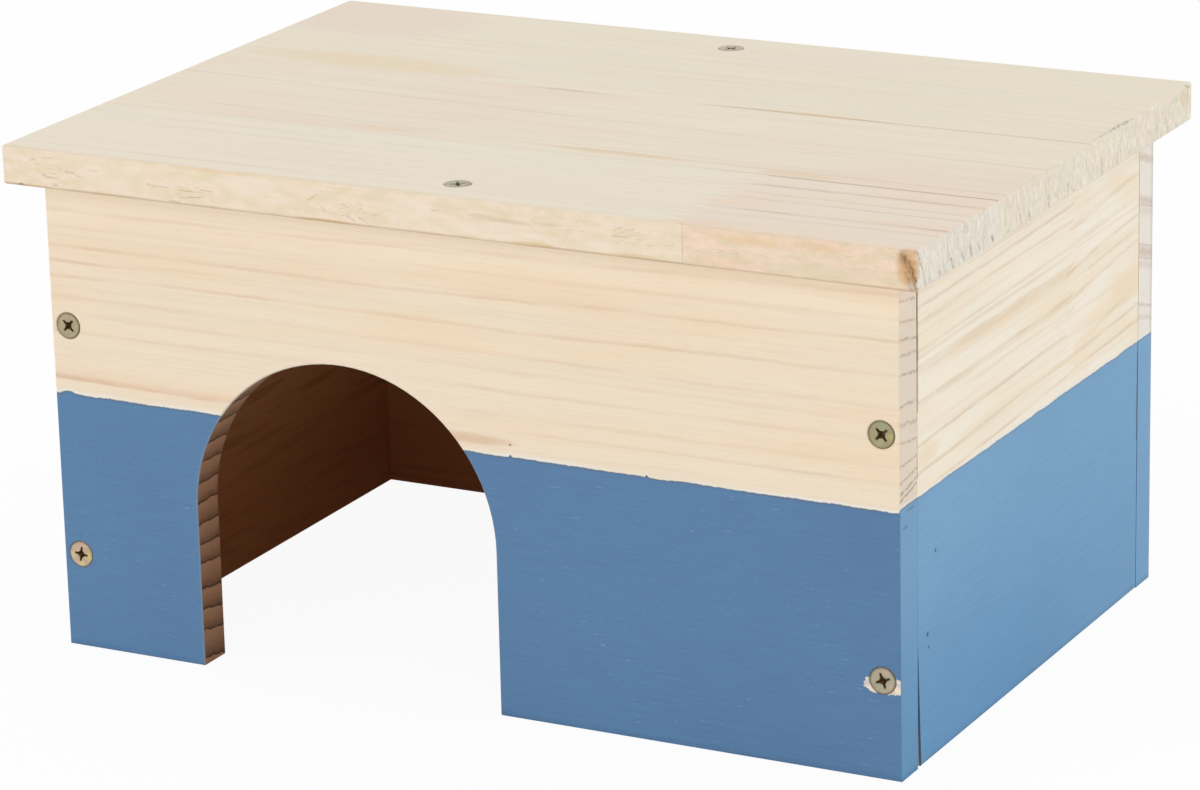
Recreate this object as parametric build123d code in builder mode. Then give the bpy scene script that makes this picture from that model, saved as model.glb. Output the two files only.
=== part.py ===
from build123d import *
from math import radians, tan
import os

# Wooden hamster house: four boards screwed into a bottomless box, an arched
# entrance in the front board, and a flat glued-up roof screwed on top.
# Millimetres. X runs along the front, Y from front to back and Z up. The origin
# is in the middle of the footprint, at the level of the floor the house stands on.

# Box of four boards
body_length = 244.0
body_depth = 166.0
body_height = 128.5
wall_thickness = 10.0
side_thickness = 10.0
edge_easing = 0.5

# Arched entrance, left of the middle of the front board
entrance_width = 89.0
entrance_height = 88.5
entrance_offset = -35.0
entrance_easing = 0.4

# The right side board's front end is sawn a little out of true, so the joint
# gapes at the bottom and, less, at the top.
lower_gap_width = 2.0
lower_gap_height = 37.0
upper_gap_width = 0.6
upper_gap_height = 55.5

# Roof panel, edge-glued from three staves
roof_thickness = 10.5
roof_overhang_side = 8.0
roof_overhang_end = 7.0
roof_easing = 0.8
front_stave_depth = 49.0
middle_stave_depth = 59.0

# Finger joints, where two lengths of stock are glued end to end
finger_length = 6.0
finger_pitch = 4.0
finger_tip = 0.6
roof_joint_from_right = 65.5
side_joint_from_back = 58.0

# Countersunk chipboard screws with a cross recess, 3.5 x 25
screw_length = 25.0
screw_diameter = 3.5
screw_core_diameter = 2.2
screw_head_diameter = 7.0
screw_head_land = 0.3
screw_rim_radius = 0.2
screw_thread_pitch = 1.6
screw_thread_flank = 0.45
screw_thread_crest = 0.15
screw_plain_length = 1.5
screw_tip_length = 3.4
screw_tip_diameter = 0.3
screw_sink = 0.1
countersink_angle = 90.0
recess_span = 4.1
recess_wing_width = 1.0
recess_depth = 2.1
recess_floor_diameter = 1.5
recess_root_radius = 0.35
recess_lip = 0.12

# Where the screws go
lower_screw_height = 26.0
upper_screw_below_top = 39.0
roof_screw_offset = -1.0

# Clearances
shank_clearance = 0.25
thread_clearance = 0.05
pilot_tip_clearance = 1.0
cut_margin = 5.0

# Sizes that follow
front_y = -body_depth / 2
back_y = body_depth / 2
left_x = -body_length / 2
right_x = body_length / 2
side_board_length = body_depth - 2 * wall_thickness
side_screw_x = right_x - side_thickness / 2
upper_screw_height = body_height - upper_screw_below_top
screw_row_middle = (lower_screw_height + upper_screw_height) / 2
screw_row_spacing = upper_screw_height - lower_screw_height
roof_screw_y = back_y - wall_thickness / 2
roof_length = body_length + 2 * roof_overhang_side
roof_depth = body_depth + 2 * roof_overhang_end
roof_front_y = -roof_depth / 2
roof_right_x = roof_length / 2
front_glue_y = roof_front_y + front_stave_depth
back_glue_y = front_glue_y + middle_stave_depth
roof_joint_x = roof_right_x - roof_joint_from_right
side_joint_y = back_y - side_joint_from_back

shank_hole_radius = screw_diameter / 2 + shank_clearance
pilot_radius = screw_diameter / 2 + thread_clearance
countersink_slope = tan(radians(countersink_angle / 2))
countersink_radius = screw_head_diameter / 2 + (screw_head_land + screw_sink) * countersink_slope
wall_pilot_depth = screw_length + screw_sink - wall_thickness + pilot_tip_clearance
roof_pilot_depth = screw_length + screw_sink - roof_thickness + pilot_tip_clearance

# Faces that the work is set out from, each facing out of the wood
front_face = Plane(origin=(0, front_y, 0), x_dir=(1, 0, 0), z_dir=(0, -1, 0))
back_face = Plane(origin=(0, back_y, 0), x_dir=(-1, 0, 0), z_dir=(0, 1, 0))
left_face = Plane(origin=(left_x, 0, 0), x_dir=(0, -1, 0), z_dir=(-1, 0, 0))
right_face = Plane(origin=(right_x, 0, 0), x_dir=(0, 1, 0), z_dir=(1, 0, 0))
side_front_end = front_face.offset(-wall_thickness)
side_back_end = back_face.offset(-wall_thickness)
top_of_walls = Plane.XY.offset(body_height)
top_of_roof = top_of_walls.offset(roof_thickness)

os.makedirs("parts", exist_ok=True)


def past_finger_joint(face, thickness, joint, start, stop, far):
    """The space beyond a finger joint that crosses a board from start to stop."""
    count = max(1, round((stop - start) / finger_pitch))
    pitch = (stop - start) / count
    tip_side = joint + finger_length / 2
    root_side = joint - finger_length / 2
    far_side = far + cut_margin
    zigzag = [(tip_side, start - cut_margin)]
    for index in range(count):
        tip = start + index * pitch
        root = tip + pitch / 2
        zigzag += [
            (tip_side, tip + finger_tip / 2),
            (root_side, root - finger_tip / 2),
            (root_side, root + finger_tip / 2),
            (tip_side, tip + pitch - finger_tip / 2),
        ]
    zigzag.append((tip_side, stop + cut_margin))
    with BuildPart() as space:
        with BuildSketch(face.offset(cut_margin)):
            with BuildLine():
                Polyline(*zigzag, (far_side, stop + cut_margin), (far_side, start - cut_margin), close=True)
            make_face()
        extrude(amount=-(thickness + 2 * cut_margin))
    return space.part


# Front board, with the arched entrance
entrance_left = entrance_offset - entrance_width / 2
entrance_right = entrance_offset + entrance_width / 2
entrance_spring = entrance_height - entrance_width / 2
with BuildPart() as front_board:
    with BuildSketch(front_face):
        Rectangle(body_length, body_height, align=(Align.CENTER, Align.MIN))
    extrude(amount=-wall_thickness)
    fillet(front_board.faces().sort_by(Axis.Y)[0].edges(), edge_easing)
    with BuildSketch(front_face):
        with BuildLine():
            Line((entrance_left, 0), (entrance_left, entrance_spring))
            ThreePointArc(
                (entrance_left, entrance_spring),
                (entrance_offset, entrance_height),
                (entrance_right, entrance_spring),
            )
            Line((entrance_right, entrance_spring), (entrance_right, 0))
            Line((entrance_right, 0), (entrance_left, 0))
        make_face()
    extrude(amount=-wall_thickness, mode=Mode.SUBTRACT)
    entrance_arris = (
        front_board.faces()
        .sort_by(Axis.Y)[0]
        .edges()
        .filter_by_position(Axis.X, entrance_left, entrance_right)
        .filter_by_position(Axis.Z, 0, entrance_height)
    )
    fillet(entrance_arris, entrance_easing)
    with Locations(front_face):
        with Locations((0, screw_row_middle)):
            with GridLocations(2 * side_screw_x, screw_row_spacing, 2, 2):
                CounterSinkHole(shank_hole_radius, countersink_radius, counter_sink_angle=countersink_angle)
    with Locations(top_of_walls):
        with Locations((roof_screw_offset, -roof_screw_y)):
            Hole(pilot_radius, depth=roof_pilot_depth)
front_board.part.label = "front_board"
export_step(front_board.part, "parts/front_board.step")

# Back board, plain, held like the front one
with BuildPart() as back_board:
    with BuildSketch(back_face):
        Rectangle(body_length, body_height, align=(Align.CENTER, Align.MIN))
    extrude(amount=-wall_thickness)
    fillet(back_board.faces().sort_by(Axis.Y)[-1].edges(), edge_easing)
    with Locations(back_face):
        with Locations((0, screw_row_middle)):
            with GridLocations(2 * side_screw_x, screw_row_spacing, 2, 2):
                CounterSinkHole(shank_hole_radius, countersink_radius, counter_sink_angle=countersink_angle)
    with Locations(top_of_walls):
        with Locations((roof_screw_offset, roof_screw_y)):
            Hole(pilot_radius, depth=roof_pilot_depth)
back_board.part.label = "back_board"
export_step(back_board.part, "parts/back_board.step")

# Left side board, one length of wood between the front and the back board
with BuildPart() as left_side_board:
    with BuildSketch(left_face):
        Rectangle(side_board_length, body_height, align=(Align.CENTER, Align.MIN))
    extrude(amount=-side_thickness)
    fillet(left_side_board.faces().sort_by(Axis.X)[0].edges(), edge_easing)
    with Locations(side_front_end, side_back_end):
        with Locations((0, screw_row_middle)):
            with GridLocations(2 * side_screw_x, screw_row_spacing, 2, 2):
                Hole(pilot_radius, depth=wall_pilot_depth)
left_side_board.part.label = "left_side_board"
export_step(left_side_board.part, "parts/left_side_board.step")

# Right side board, before it is parted at its finger joint
end_front = -side_board_length / 2
with BuildPart() as right_side_stock:
    with BuildSketch(right_face):
        Rectangle(side_board_length, body_height, align=(Align.CENTER, Align.MIN))
    extrude(amount=-side_thickness)
    fillet(right_side_stock.faces().sort_by(Axis.X)[-1].edges(), edge_easing)
    with BuildSketch(right_face):
        with BuildLine():
            Polyline(
                (end_front, 0),
                (end_front + lower_gap_width, 0),
                (end_front, lower_gap_height),
                close=True,
            )
        make_face()
        with BuildLine():
            Polyline(
                (end_front, body_height - upper_gap_height),
                (end_front + upper_gap_width, body_height),
                (end_front, body_height),
                close=True,
            )
        make_face()
    extrude(amount=-side_thickness, mode=Mode.SUBTRACT)
    with Locations(side_front_end, side_back_end):
        with Locations((0, screw_row_middle)):
            with GridLocations(2 * side_screw_x, screw_row_spacing, 2, 2):
                Hole(pilot_radius, depth=wall_pilot_depth)
past_side_joint = past_finger_joint(right_face, side_thickness, side_joint_y, 0, body_height, back_y)

with BuildPart() as right_side_front_length:
    add(right_side_stock.part)
    add(past_side_joint, mode=Mode.SUBTRACT)
right_side_front_length.part.label = "right_side_front_length"
export_step(right_side_front_length.part, "parts/right_side_front_length.step")

with BuildPart() as right_side_back_length:
    add(right_side_stock.part)
    add(past_side_joint, mode=Mode.INTERSECT)
right_side_back_length.part.label = "right_side_back_length"
export_step(right_side_back_length.part, "parts/right_side_back_length.step")

# Roof panel, before it is parted into its staves
with BuildPart() as roof_panel:
    with BuildSketch(top_of_walls):
        Rectangle(roof_length, roof_depth)
    extrude(amount=roof_thickness)
    fillet(roof_panel.edges(), roof_easing)
    with Locations(top_of_roof):
        with Locations((roof_screw_offset, -roof_screw_y), (roof_screw_offset, roof_screw_y)):
            CounterSinkHole(shank_hole_radius, countersink_radius, counter_sink_angle=countersink_angle)
front_glue_plane = Plane.XZ.offset(-front_glue_y)
back_glue_plane = Plane.XZ.offset(-back_glue_y)
past_roof_joint = past_finger_joint(
    top_of_roof, roof_thickness, roof_joint_x, roof_front_y, front_glue_y, roof_right_x
)

with BuildPart() as roof_front_stave_left:
    add(roof_panel.part)
    split(bisect_by=front_glue_plane, keep=Keep.TOP)
    add(past_roof_joint, mode=Mode.SUBTRACT)
roof_front_stave_left.part.label = "roof_front_stave_left"
export_step(roof_front_stave_left.part, "parts/roof_front_stave_left.step")

with BuildPart() as roof_front_stave_right:
    add(roof_panel.part)
    split(bisect_by=front_glue_plane, keep=Keep.TOP)
    add(past_roof_joint, mode=Mode.INTERSECT)
roof_front_stave_right.part.label = "roof_front_stave_right"
export_step(roof_front_stave_right.part, "parts/roof_front_stave_right.step")

with BuildPart() as roof_middle_stave:
    add(roof_panel.part)
    split(bisect_by=front_glue_plane, keep=Keep.BOTTOM)
    split(bisect_by=back_glue_plane, keep=Keep.TOP)
roof_middle_stave.part.label = "roof_middle_stave"
export_step(roof_middle_stave.part, "parts/roof_middle_stave.step")

with BuildPart() as roof_back_stave:
    add(roof_panel.part)
    split(bisect_by=back_glue_plane, keep=Keep.BOTTOM)
roof_back_stave.part.label = "roof_back_stave"
export_step(roof_back_stave.part, "parts/roof_back_stave.step")

# Cross recess of a screw, open at z = 0. Its wings are cut back to a cone and its lip is bevelled.
with BuildPart() as cross_recess:
    with BuildSketch() as cross:
        Rectangle(recess_span, recess_wing_width)
        Rectangle(recess_wing_width, recess_span)
        fillet(cross.vertices().sort_by_distance((0, 0, 0))[:4], recess_root_radius)
    extrude(amount=-recess_depth)
    Cone(
        recess_floor_diameter / 2,
        recess_span / 2,
        recess_depth,
        align=(Align.CENTER, Align.CENTER, Align.MAX),
        mode=Mode.INTERSECT,
    )
    with BuildSketch() as lip:
        Rectangle(recess_span + 2 * recess_lip, recess_wing_width + 2 * recess_lip)
        Rectangle(recess_wing_width + 2 * recess_lip, recess_span + 2 * recess_lip)
        fillet(lip.vertices().sort_by_distance((0, 0, 0))[:4], recess_root_radius - recess_lip)
    extrude(amount=-recess_lip, taper=45)

# Screw, head at z = 0 and tip downwards. Rings stand in for its thread.
head_radius = screw_head_diameter / 2
thread_radius = screw_diameter / 2
core_radius = screw_core_diameter / 2
neck_bottom = screw_head_land + (head_radius - core_radius) / countersink_slope
thread_start = neck_bottom + screw_plain_length
thread_stop = screw_length - screw_tip_length
ring_height = 2 * screw_thread_flank + screw_thread_crest
ring_count = int((thread_stop - thread_start - ring_height) / screw_thread_pitch) + 1
screw_profile = [(0, 0), (head_radius, 0), (head_radius, -screw_head_land), (core_radius, -neck_bottom)]
for ring in range(ring_count):
    ring_top = thread_start + ring * screw_thread_pitch
    screw_profile += [
        (core_radius, -ring_top),
        (thread_radius, -(ring_top + screw_thread_flank)),
        (thread_radius, -(ring_top + screw_thread_flank + screw_thread_crest)),
        (core_radius, -(ring_top + ring_height)),
    ]
screw_profile += [
    (core_radius, -thread_stop),
    (screw_tip_diameter / 2, -screw_length),
    (0, -screw_length),
]
with BuildPart() as plain_screw:
    with BuildSketch(Plane.XZ) as screw_section:
        with BuildLine():
            Polyline(*screw_profile, close=True)
        make_face()
        fillet(screw_section.vertices().group_by(Axis.X)[-1].sort_by(Axis.Y)[-1], screw_rim_radius)
    revolve(axis=Axis.Z)
    add(cross_recess.part, mode=Mode.SUBTRACT)

# Every screw as driven: the plane of its face, its place there and the turn its recess stopped at
left_column = -side_screw_x
right_column = side_screw_x
screws = {
    "front_screw_upper_left": (front_face, left_column, upper_screw_height, 47),
    "front_screw_lower_left": (front_face, left_column, lower_screw_height, -8),
    "front_screw_upper_right": (front_face, right_column, upper_screw_height, 42),
    "front_screw_lower_right": (front_face, right_column, lower_screw_height, 20),
    "back_screw_upper_left": (back_face, right_column, upper_screw_height, 12),
    "back_screw_lower_left": (back_face, right_column, lower_screw_height, 63),
    "back_screw_upper_right": (back_face, left_column, upper_screw_height, 35),
    "back_screw_lower_right": (back_face, left_column, lower_screw_height, 78),
    "roof_screw_front": (top_of_roof, roof_screw_offset, -roof_screw_y, 32),
    "roof_screw_back": (top_of_roof, roof_screw_offset, roof_screw_y, 70),
}
for name, (face, across, along, turn) in screws.items():
    with BuildPart(face.offset(-screw_sink)) as screw:
        with Locations((across, along)):
            add(plain_screw.part, rotation=(0, 0, turn))
    screw.part.label = name
    export_step(screw.part, f"parts/{name}.step")
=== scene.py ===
from functools import reduce
from math import cos, pi, radians, sin

import bpy
from mathutils import Matrix, Vector


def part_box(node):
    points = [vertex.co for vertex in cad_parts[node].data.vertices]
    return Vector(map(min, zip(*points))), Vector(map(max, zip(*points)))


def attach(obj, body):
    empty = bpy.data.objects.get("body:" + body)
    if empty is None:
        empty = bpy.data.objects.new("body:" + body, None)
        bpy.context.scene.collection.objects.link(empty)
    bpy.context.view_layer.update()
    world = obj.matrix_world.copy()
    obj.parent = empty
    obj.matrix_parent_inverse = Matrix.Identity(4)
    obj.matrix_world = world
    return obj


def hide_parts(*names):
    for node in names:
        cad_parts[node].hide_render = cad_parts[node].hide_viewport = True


# Wooden hamster house: pine boards, dipped blue paint and yellow zinc screws.
# The boards keep their CAD solids and take their finishes here. The screws are built again, for
# their helical threads. The floor, the light and the camera come last. Lengths are millimetres.

print("loading the frame")
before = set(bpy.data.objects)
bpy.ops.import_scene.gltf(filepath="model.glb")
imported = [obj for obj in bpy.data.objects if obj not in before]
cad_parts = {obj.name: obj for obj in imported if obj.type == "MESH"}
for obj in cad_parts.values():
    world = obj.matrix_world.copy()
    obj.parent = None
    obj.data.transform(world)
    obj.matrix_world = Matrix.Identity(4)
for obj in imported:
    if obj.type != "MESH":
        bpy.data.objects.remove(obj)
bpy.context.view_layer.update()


class Wire:
    # A node's output. Arithmetic on wires adds Math nodes to their tree.
    def __init__(self, tree, socket=None):
        self.tree = tree
        self.socket = socket

    def node(self, kind, settings=None, inputs=None, output=0):
        made = self.tree.nodes.new(kind if kind.startswith("Geometry") else "ShaderNode" + kind)
        for name, value in (settings or {}).items():
            setattr(made, name, value)
        for name, value in (inputs or {}).items():
            for part in value if isinstance(value, list) else [value]:
                if isinstance(part, Wire):
                    self.tree.links.new(part.socket, made.inputs[name])
                else:
                    made.inputs[name].default_value = part
        return Wire(self.tree, made.outputs[output])

    def maths(self, operation, *values):
        return self.node("Math", {"operation": operation}, dict(enumerate(values)))

    def vectors(self, operation, *values):
        # a vector, or a number where the operation gives one
        sockets = (0, 3) if operation == "SCALE" else (0, 1, 2)
        output = 1 if operation in ("DISTANCE", "DOT_PRODUCT") else 0
        return self.node("VectorMath", {"operation": operation}, dict(zip(sockets, values)), output)

    def __add__(self, other):
        return self.maths("ADD", self, other)

    def __radd__(self, other):
        return self.maths("ADD", other, self)

    def __sub__(self, other):
        return self.maths("SUBTRACT", self, other)

    def __rsub__(self, other):
        return self.maths("SUBTRACT", other, self)

    def __mul__(self, other):
        return self.maths("MULTIPLY", self, other)

    def __rmul__(self, other):
        return self.maths("MULTIPLY", other, self)

    def __truediv__(self, other):
        return self.maths("DIVIDE", self, other)

    def __pow__(self, other):
        return self.maths("POWER", self, other)

    def __abs__(self):
        return self.maths("ABSOLUTE", self)


def tone(red, green, blue):
    # a colour as picked on screen, 0 to 255, as the linear values that Blender works in
    def linear(value):
        share = value / 255
        return share / 12.92 if share <= 0.04045 else ((share + 0.055) / 1.055) ** 2.4

    return (linear(red), linear(green), linear(blue), 1.0)


def ease(value, low, high, start=0.0, end=1.0):
    # goes smoothly from start to end while value goes from low to high
    limits = {1: low, 2: high, 3: start, 4: end}
    return value.node("MapRange", {"interpolation_type": "SMOOTHSTEP"}, {0: value, **limits})


def follow(value, low, high, start, end):
    # goes evenly from start to end while value goes from low to high
    return value.node("MapRange", {}, {0: value, 1: low, 2: high, 3: start, 4: end})


def clamped(value, low=0.0):
    return value.node("Clamp", {}, {0: value, "Min": low})


def larger(first, second):
    return first.maths("MAXIMUM", first, second)


def mixTones(share, first, second):
    settings = {"data_type": "RGBA", "clamp_factor": True}
    return share.node("Mix", settings, {0: share, 6: first, 7: second}, 2)


def shadeTone(colour, factor):
    return factor.vectors("SCALE", colour, factor)


def cloud(point, size, detail=2.0, seed=0.0):
    # noise from 0 to 1 whose blotches have that size along the point's three directions
    shrink = tuple(1 / length for length in size)
    scaled = point.vectors("MULTIPLY_ADD", point, shrink, (seed, seed * 1.7, seed * 2.3))
    inputs = {"Vector": scaled, "Scale": 1.0, "Detail": detail, "Roughness": 0.55}
    return point.node("TexNoise", {}, inputs)


def places(tree):
    # the surface point in millimetres and the way the surface faces
    root = Wire(tree)
    point = root.vectors("SCALE", root.node("TexCoord", output="Object"), 1000.0)
    facing = root.node("TexCoord", output="Normal")
    return point, facing


def split(vector):
    return [vector.node("SeparateXYZ", inputs={0: vector}, output=axis) for axis in range(3)]


def joined(*parts):
    # a point from its two or three parts, some of which are wires
    wire = next(part for part in parts if isinstance(part, Wire))
    return wire.node("CombineXYZ", {}, dict(enumerate(parts)))


def addObject(name, data):
    made = bpy.data.objects.new(name, data)
    bpy.context.scene.collection.objects.link(made)
    return made


def newMaterial(name):
    material = bpy.data.materials.new(name)
    material.use_nodes = True
    material.node_tree.nodes.clear()
    return material


def finishMaterial(surface, relief, shine=0.5, metal=0.0):
    # relief is the bump's depth in millimetres between height 0 and height 1
    colour, roughness, height = surface["colour"], surface["roughness"], surface["height"]
    bump = height.node("Bump", {}, {"Strength": 1.0, "Distance": relief / 1000, "Height": height})
    inputs = {"Base Color": colour, "Roughness": roughness, "Normal": bump, "Metallic": metal}
    shader = height.node("BsdfPrincipled", {}, {**inputs, "Specular IOR Level": shine})
    output = height.tree.nodes.new("ShaderNodeOutputMaterial")
    height.tree.links.new(shader.socket, output.inputs["Surface"])


# Pine

def grainLines(across, along, strokes):
    # Latewood lines: each is (from along, from across, to along, to across, darkness, spread).
    # A line is crisp on one side and fades over its spread on the other: upwards, or downwards
    # where the spread is negative. It tapers at its ends, unless they lie beyond the board.
    crispSide = 0.3
    taper = 9.0
    beyond = 140

    def grainLine(startAlong, startAcross, endAlong, endAcross, darkness, spread):
        centre = follow(along, startAlong, endAlong, startAcross, endAcross)
        offset = (across - centre) * (1 if spread > 0 else -1)
        reach = abs(spread)
        line = ease(offset, -crispSide - reach * 0.2, 0.0) * ease(offset, 0.0, reach, darkness, 0.0)
        if startAlong > -beyond:
            line = line * ease(along, startAlong - taper, startAlong + taper)
        if endAlong < beyond:
            line = line * ease(along, endAlong + taper, endAlong - taper)
        return line

    return reduce(larger, (grainLine(*stroke) for stroke in strokes))


def thinLines(value, lines):
    # lines at fixed values: each is (value, half width, darkness)
    def line(middle, halfWidth, darkness):
        return ease(abs(value - middle), halfWidth, 0.0, 0.0, darkness)

    return reduce(larger, (line(*place) for place in lines))


def scratched(spot, marks):
    # short straight marks in a plane, each from one spot to another, with its half width and share
    def scratch(fromFirst, fromSecond, toFirst, toSecond, halfWidth, share):
        run = Vector((toFirst - fromFirst, toSecond - fromSecond, 0))
        step = spot.vectors("SUBTRACT", spot, (fromFirst, fromSecond, 0))
        way = clamped(step.vectors("DOT_PRODUCT", step, run / run.length_squared))
        reach = step.vectors("DISTANCE", step, way.vectors("SCALE", run, way))
        return ease(reach, halfWidth * 1.15, 0.0, 0.0, share)

    return reduce(larger, (scratch(*mark) for mark in marks))


def growthRings(across, pitch, seed):
    # faint rings whose pitch and darkness wander, for the wood between the strokes
    line = across / pitch
    settings = {"noise_dimensions": "1D"}
    wander = line.node("TexNoise", settings, {"W": line * 0.37 + seed, "Scale": 1.0, "Detail": 1.0})
    turn = line + wander * 1.6
    share = turn.maths("FRACT", turn)
    ring = turn.maths("FLOOR", turn)
    weight = ring.node("TexWhiteNoise", settings, {"W": ring + seed})
    late = ease(share, 0.0, 0.09) * ease(share, 0.09, 0.6, 1.0, 0.0)
    return late * (0.35 + 0.65 * weight)


def ringCount(value, rings):
    # goes up by one from each ring's place to the next
    steps = (follow(value, low, high, 0.0, 1.0) for low, high in zip(rings, rings[1:]))
    return reduce(Wire.__add__, steps)


def pineSurface(tree, board):
    point, facing = places(tree)
    along, across, depth = board["axes"](*split(point))
    grainSpace = joined(along, across, depth)
    seed = board["seed"]
    sideways = split(facing)[board["grainAxis"]]
    endGrain = ease(abs(sideways), 0.5, 0.85)

    # the rings' level wanders along the grain and leans with the depth
    drift = cloud(grainSpace, (110, 26, 26), 1.0, seed) - 0.5
    ripple = cloud(grainSpace, (20, 6, 6), 1.0, seed + 3) - 0.5
    quiver = cloud(grainSpace, (5, 1.3, 1.3), 1.0, seed + 4) - 0.5
    level = across + depth * board["tilt"] + drift * board["drift"] + ripple * 0.9 + quiver * 0.5
    patches = cloud(grainSpace, board["patchSize"], 2.0, seed + 5)
    fibres = cloud(grainSpace, (26, 0.7, 0.7), 3.0, seed + 7)
    fineFibres = cloud(grainSpace, (5, 0.22, 0.22), 2.0, seed + 9)
    faintLines = cloud(grainSpace, (120, 1.5, 1.5), 2.0, seed + 11)
    ducts = ease(cloud(grainSpace, (3.2, 0.3, 0.3), 0.0, seed + 13), 0.76, 0.84)

    rings = growthRings(level, board["ringPitch"], seed) * board["ringShare"]
    strength = ease(cloud(grainSpace, (24, 4, 4), 2.0, seed + 15), 0.32, 0.68, 0.45, 1.15)
    rings = larger(rings, grainLines(level, along, board["strokes"]) * strength)

    # the sawn ends show the rings as lines
    endRings = ease(rings, 0.08, 0.5) * board["endLineShare"]
    if board.get("endLines"):
        fan = depth * ease(across, 90, 74, 0.0, board["endFan"])
        wander = (cloud(grainSpace, (9, 9, 1.6), 2.0, seed + 19) - 0.5) * board["endWander"]
        wandering = level + fan + wander
        gaps = cloud(grainSpace, (1.2, 1.2, 1.2), 2.0, seed + 21)
        broken = ease(gaps, 0.35, 0.6, board["endBroken"], 1.0)
        endRings = thinLines(wandering, board["endLines"]) * broken

    warmth = ease(patches, 0.4, 0.72) * board["warmShare"]
    colour = mixTones(warmth, board["tone"], board["warmTone"])
    colour = mixTones(ease(faintLines, 0.5, 0.72) * board["faintShare"], colour, board["lineTone"])
    colour = mixTones(rings * board["lineShare"], colour, board["lineTone"])
    colour = mixTones(ducts * board["ductShare"], colour, board["lineTone"])
    endWood = mixTones(endRings, board["endTone"], board["endLineTone"])
    colour = mixTones(endGrain, colour, endWood)
    grit = cloud(grainSpace, (0.9, 0.6, 1.6), 2.0, seed + 17) - 0.5
    shine = 1.0 + (fibres - 0.5) * 0.09 + (fineFibres - 0.5) * 0.06
    colour = shadeTone(colour, shine + grit * endGrain * board["endGrit"])

    return {
        "point": point,
        "facing": facing,
        "ways": (along, across, depth, grainSpace),
        "endGrain": endGrain,
        "rings": rings,
        "colour": colour,
        "fibres": fibres,
        "height": fibres * 0.5 + fineFibres * 0.35 + rings * 0.25,
        "roughness": 0.66 - rings * 0.1 + (fibres - 0.5) * 0.12,
    }


def stainMask(wood, stains):
    # soft-edged patches: each (along, across, depth, half length, half width, half depth, share)
    along, across, depth, grainSpace = wood["ways"]
    ragged = (cloud(grainSpace, (5, 1.4, 1.4), 2.0, 31) - 0.5) * 0.9

    def stain(alongAt, acrossAt, depthAt, halfLength, halfWidth, halfDepth, share):
        reach = (
            ((along - alongAt) / halfLength) ** 2
            + ((across - acrossAt) / halfWidth) ** 2
            + ((depth - depthAt) / halfDepth) ** 2
        )
        return ease(reach + ragged, 0.1, 1.0, share, 0.0)

    return reduce(larger, (stain(*place) for place in stains))


def addStains(wood, board):
    for stains, stainTone in board.get("stains", []):
        wood["colour"] = mixTones(stainMask(wood, stains), wood["colour"], stainTone)


# Walls

wallSizes = {
    "halfLength": 122.0,
    "halfDepth": 83.0,
    "thickness": 10.0,
    "archMiddle": -35.0,
    "archRadius": 44.5,
    "archSpring": 44.0,
    "height": 128.5,
    "sinkRadius": 3.72,
}

paint = {
    "tone": tone(86, 125, 164),
    # painted light: the side faces take a lighter blue than the front, painted darker low towards
    # the front
    "sideTone": tone(111, 157, 194),
    "shadedSideLowTone": tone(89, 143, 186),
    "fleckTone": tone(142, 170, 202),
    "darkTone": tone(52, 84, 118),
    "rimTone": tone(246, 240, 232),
    "haloTone": tone(234, 230, 222),
    "edgeTone": tone(92, 104, 114),
    "wornAndShadedTone": tone(160, 152, 146),
    "waveHeight": 0.9,
    "fuzzHeight": 0.5,
    "haloHeight": 1.2,
    "lineHeight": 0.4,
    "wrapDepth": 0.62,
}

inside = {
    # painted shade: the low and high tones give the inside a darker brown for the shade in the
    # house, painted lighter towards the top
    "lowHeight": 10.0,
    "shadedLowTone": tone(172, 110, 68),
    "highHeight": 115.0,
    "highTone": tone(250, 202, 144),
    "lineTone": tone(146, 92, 56),
    # painted shade in the countersinks around the screw heads
    "sinkShadeTone": tone(132, 108, 78),
    "cutTone": tone(172, 129, 98),
    "cutLineTone": tone(92, 60, 40),
    "cutEdgeTone": tone(52, 30, 20),
    # painted highlight along the entrance's front arris
    "arrisTone": tone(150, 150, 150),
    # painted shadow line under the roof's front edge
    "roofShadowTone": tone(204, 164, 132),
}


def addIndoorShade(wood, board):
    # painted shade: the faces towards the room inside are unplaned wood, coloured a darker brown
    # that stands in for the shade in the house, and painted lighter towards the top
    x, y, z = wood["place"]
    along, across, depth, grainSpace = wood["ways"]
    indoors = ease(depth, wallSizes["thickness"] - 0.12, wallSizes["thickness"] - 0.02)
    if "roomHalf" in board:
        indoors = indoors * ease(abs(x), board["roomHalf"] + 0.6, board["roomHalf"] + 0.2)
    rise = ease(z, inside["lowHeight"], inside["highHeight"])
    shadedRoughWood = mixTones(rise, inside["shadedLowTone"], inside["highTone"])
    sawMarks = cloud(grainSpace, (40, 3, 3), 3.0, 81)
    roughLines = larger(wood["rings"] * 0.7, ease(sawMarks, 0.5, 0.66) * 0.5)
    shadedRoughWood = mixTones(roughLines, shadedRoughWood, inside["lineTone"])
    shadedRoughWood = shadeTone(shadedRoughWood, 0.8 + wood["fibres"] * 0.25 + sawMarks * 0.15)
    wood["colour"] = mixTones(indoors, wood["colour"], shadedRoughWood)
    wood["roughness"] = wood["roughness"] + indoors * (1 - wood["roughness"])


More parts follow.
